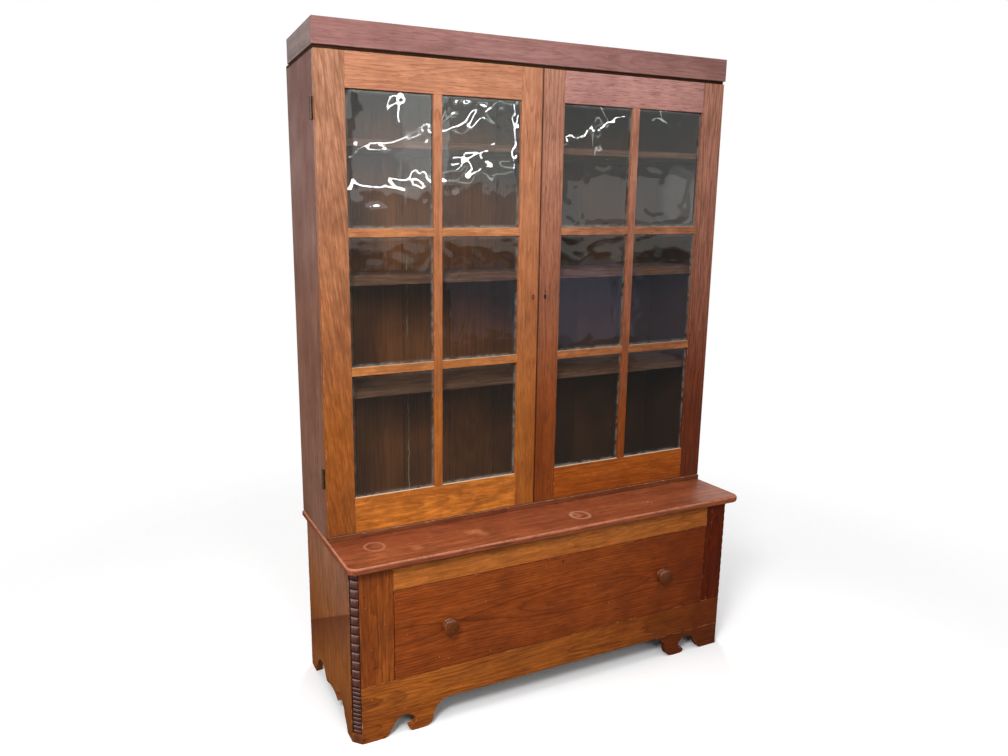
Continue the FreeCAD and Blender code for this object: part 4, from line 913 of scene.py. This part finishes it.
# Distance from the drawer front and radius in mm, from the stem's end to the middle of the dome
knob_profile = [
    (-22, 0), (-22, 8.7), (-0.2, 8.7), (0, 9), (0, 22.2), (0.8, 23), (4.6, 23), (5.8, 22.4), (6.4, 21.2),
    (7.0, 18.6), (7.8, 17.3), (8.8, 17.0), (10.0, 17.4), (12.0, 18.8), (14.0, 20.6), (16.0, 22.5),
    (18.0, 24.0), (20.0, 24.8), (21.8, 25.0), (22.8, 24.7), (23.5, 24.0), (24.1, 22.7), (24.9, 20.6),
    (26.0, 16.6), (27.0, 11.5), (27.7, 6.0), (27.9, 2.6), (28.0, 0)]
knob_reach, knob_grain_step = 0.05, 1.3
turned = bmesh.new()
grain = turned.verts.layers.float_vector.new("grain")
front_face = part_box("drawer_front")[0].y
for number, (low, high) in enumerate(boxes("drawer_knobs")):
    middle_x, middle_z = (low.x + high.x) / 2, (low.z + high.z) / 2
    points = [turned.verts.new((middle_x + radius / 1000, front_face - out / 1000, middle_z))
              for out, radius in knob_profile]
    edges = [turned.edges.new(pair) for pair in zip(points, points[1:])]
    bmesh.ops.spin(turned, geom=points + edges, cent=(middle_x, 0, middle_z), axis=(0, 1, 0), dvec=(0, 0, 0),
                   angle=math.tau, steps=72, use_merge=True)
    for point in turned.verts:
        if abs(point.co.x - middle_x) < knob_reach:
            lie = point.co - Vector((middle_x, front_face, middle_z))
            point[grain] = Vector((lie.y + knob_grain_step * number, lie.x, lie.z))
bmesh.ops.remove_doubles(turned, verts=turned.verts, dist=weld)
bmesh.ops.recalc_face_normals(turned, faces=turned.faces)
stand_in(turned, "drawer_knobs", "turned", [knob_wood], crease=50)


# Studio: a pale floor that fades into a white ground, soft light from the front left and above, and
# the camera where the photo was taken from. None of it is part of the cupboard.
floor_half = 60
floor_mesh = bpy.data.meshes.new("floor")
floor_mesh.from_pydata([(x * floor_half, y * floor_half, 0) for x, y in ((-1, -1), (1, -1), (1, 1), (-1, 1))],
                       [], [(0, 1, 2, 3)])
floor = bpy.data.objects.new("floor", floor_mesh)
show(floor)
floor_paint, put, spot = fresh_material("white painted floor")
# Matt white to the eye, so that only the shadow shows on it; it fades out between 1 and 2.7 m away
away = put("VectorMath", {0: spot}, "LENGTH")
shown = put("MapRange", {0: away, 1: 2.7, 2: 1.0}, interpolation_type="SMOOTHSTEP")
ray = put("LightPath", {}).outputs
seen = put("Math", {0: ray["Is Camera Ray"], 1: ray["Is Transmission Ray"]}, "MAXIMUM")
mirrored = put("Math", {0: ray["Is Glossy Ray"], 1: ray["Is Transmission Ray"]}, "SUBTRACT", use_clamp=True)
shown = put("Math", {0: shown, 1: mirrored}, "MAXIMUM")
paint = put("Mix", {0: seen, 6: "#8a8680", 7: "#fafafa"}, data_type="RGBA")
# Shiny surfaces mirror the worn ground further off, which is darker
paint = put("Mix", {0: mirrored, 6: paint, 7: "#5a524a"}, data_type="RGBA")
white = put("BsdfDiffuse", {"Color": paint})
clear = put("BsdfTransparent", {})
mixed = put("MixShader", {0: shown, 1: clear, 2: white})
put("OutputMaterial", {"Surface": mixed})
floor_mesh.materials.append(floor_paint)

# White to the eye, in glass and in gloss, and a weak fill light on everything else
world = bpy.data.worlds.new("white studio")
world.use_nodes = True
bpy.context.scene.world = world
world.node_tree.nodes.clear()
put = functools.partial(add, world.node_tree)
ray = put("LightPath", {}).outputs
seen = put("Math", {0: ray["Is Camera Ray"], 1: ray["Is Glossy Ray"]}, "MAXIMUM")
seen = put("Math", {0: seen, 1: ray["Is Transmission Ray"]}, "MAXIMUM")
level = put("MapRange", {0: seen, 3: 0.25, 4: 1.0})
ground = put("Background", {"Color": (1, 1, 1, 1), "Strength": level})
put("OutputWorld", {"Surface": ground})

# Lights: where each stands, what it faces, its width and height, its power in watts, and how many
# degrees it leans. The strip lights and blue cards stand where the panes mirror them, and show only
# in shiny surfaces
strip = 0.018
lights = [
    ("key soft box", (-1.9, -1.9, 2.5), (-0.1, 0.0, 0.9), (0.7, 0.7), 76, 0),
    ("top soft box", (-0.3, -0.7, 4.0), (0.0, 0.0, 0.6), (3.0, 2.0), 72, 0),
    ("front soft box", (-0.6, -3.1, 2.3), (0.0, 0.0, 1.2), (0.8, 0.6), 22, 0),
    ("left soft box", (-3.2, -0.5, 0.9), (-0.7, 0.1, 0.8), (1.6, 1.8), 32, 0),
    ("back soft box", (1.4, 2.4, 3.5), (0.2, 0.2, 1.0), (1.6, 1.2), 60, 0),
    ("mirrored soft box", (0.74, -3.05, 2.2), (-0.4, 0.0, 1.7), (0.68, 0.85), 5.4, 0),
    ("far mirrored soft box", (2.75, -3.05, 1.78), (0.4, 0.0, 1.7), (1.0, 0.35), 1.6, 0),
    ("lower strip light", (0.68, -3.0, 1.86), (-0.4, 0.0, 1.7), (0.75, strip), 3.6, 4),
    ("upper strip light", (0.8, -3.0, 2.2), (-0.4, 0.0, 1.7), (1.15, strip), 5.2, 16),
    ("short strip light", (1.3, -3.0, 2.03), (-0.2, 0.0, 1.7), (0.25, strip), 1.1, 14),
    ("right strip light", (2.36, -3.0, 2.34), (0.3, 0.0, 1.8), (0.62, strip), 3.1, 16),
    ("upright strip light", (0.72, -3.0, 2.45), (-0.4, 0.0, 1.8), (strip, 0.28), 1.3, 0),
    ("far upright strip light", (1.66, -3.0, 2.25), (0.0, 0.0, 1.8), (strip, 0.5), 2.4, 0),
    ("blue card", (1.95, -3.05, 0.97), (0.1, 0.0, 1.3), (1.5, 0.6), 1.5, 3),
    ("near blue card", (2.34, -3.04, 0.93), (0.15, 0.0, 1.3), (0.62, 0.6), 0.6, 12)]
for name, stand, facing, size, power, lean in lights:
    light = bpy.data.lights.new(name, "AREA")
    light.shape = "RECTANGLE"
    light.size, light.size_y = size
    light.energy = power
    light.color = linear("#ccd0ff" if "card" in name else "#ffffff")[:3]
    lamp = bpy.data.objects.new(name, light)
    lamp.location = stand
    aim = (Vector(facing) - Vector(stand)).to_track_quat("-Z", "Y")
    lamp.rotation_euler = (aim @ Quaternion((0, 0, 1), math.radians(lean))).to_euler()
    lamp.visible_camera = False
    lamp.visible_diffuse = "box" in name
    show(lamp)

view = bpy.data.cameras.new("camera")
view.sensor_width = 36
view.lens = 26.261
view.shift_x = 0.0879
view.shift_y = -0.0023
camera = bpy.data.objects.new("camera", view)
camera.location = (-1.31578, -2.10993, 1.52691)
camera.rotation_euler = [math.radians(turn) for turn in (78.9163, 0.4633, -23.1219)]
show(camera)
bpy.context.scene.camera = camera
bpy.context.scene.view_settings.view_transform = "Standard"
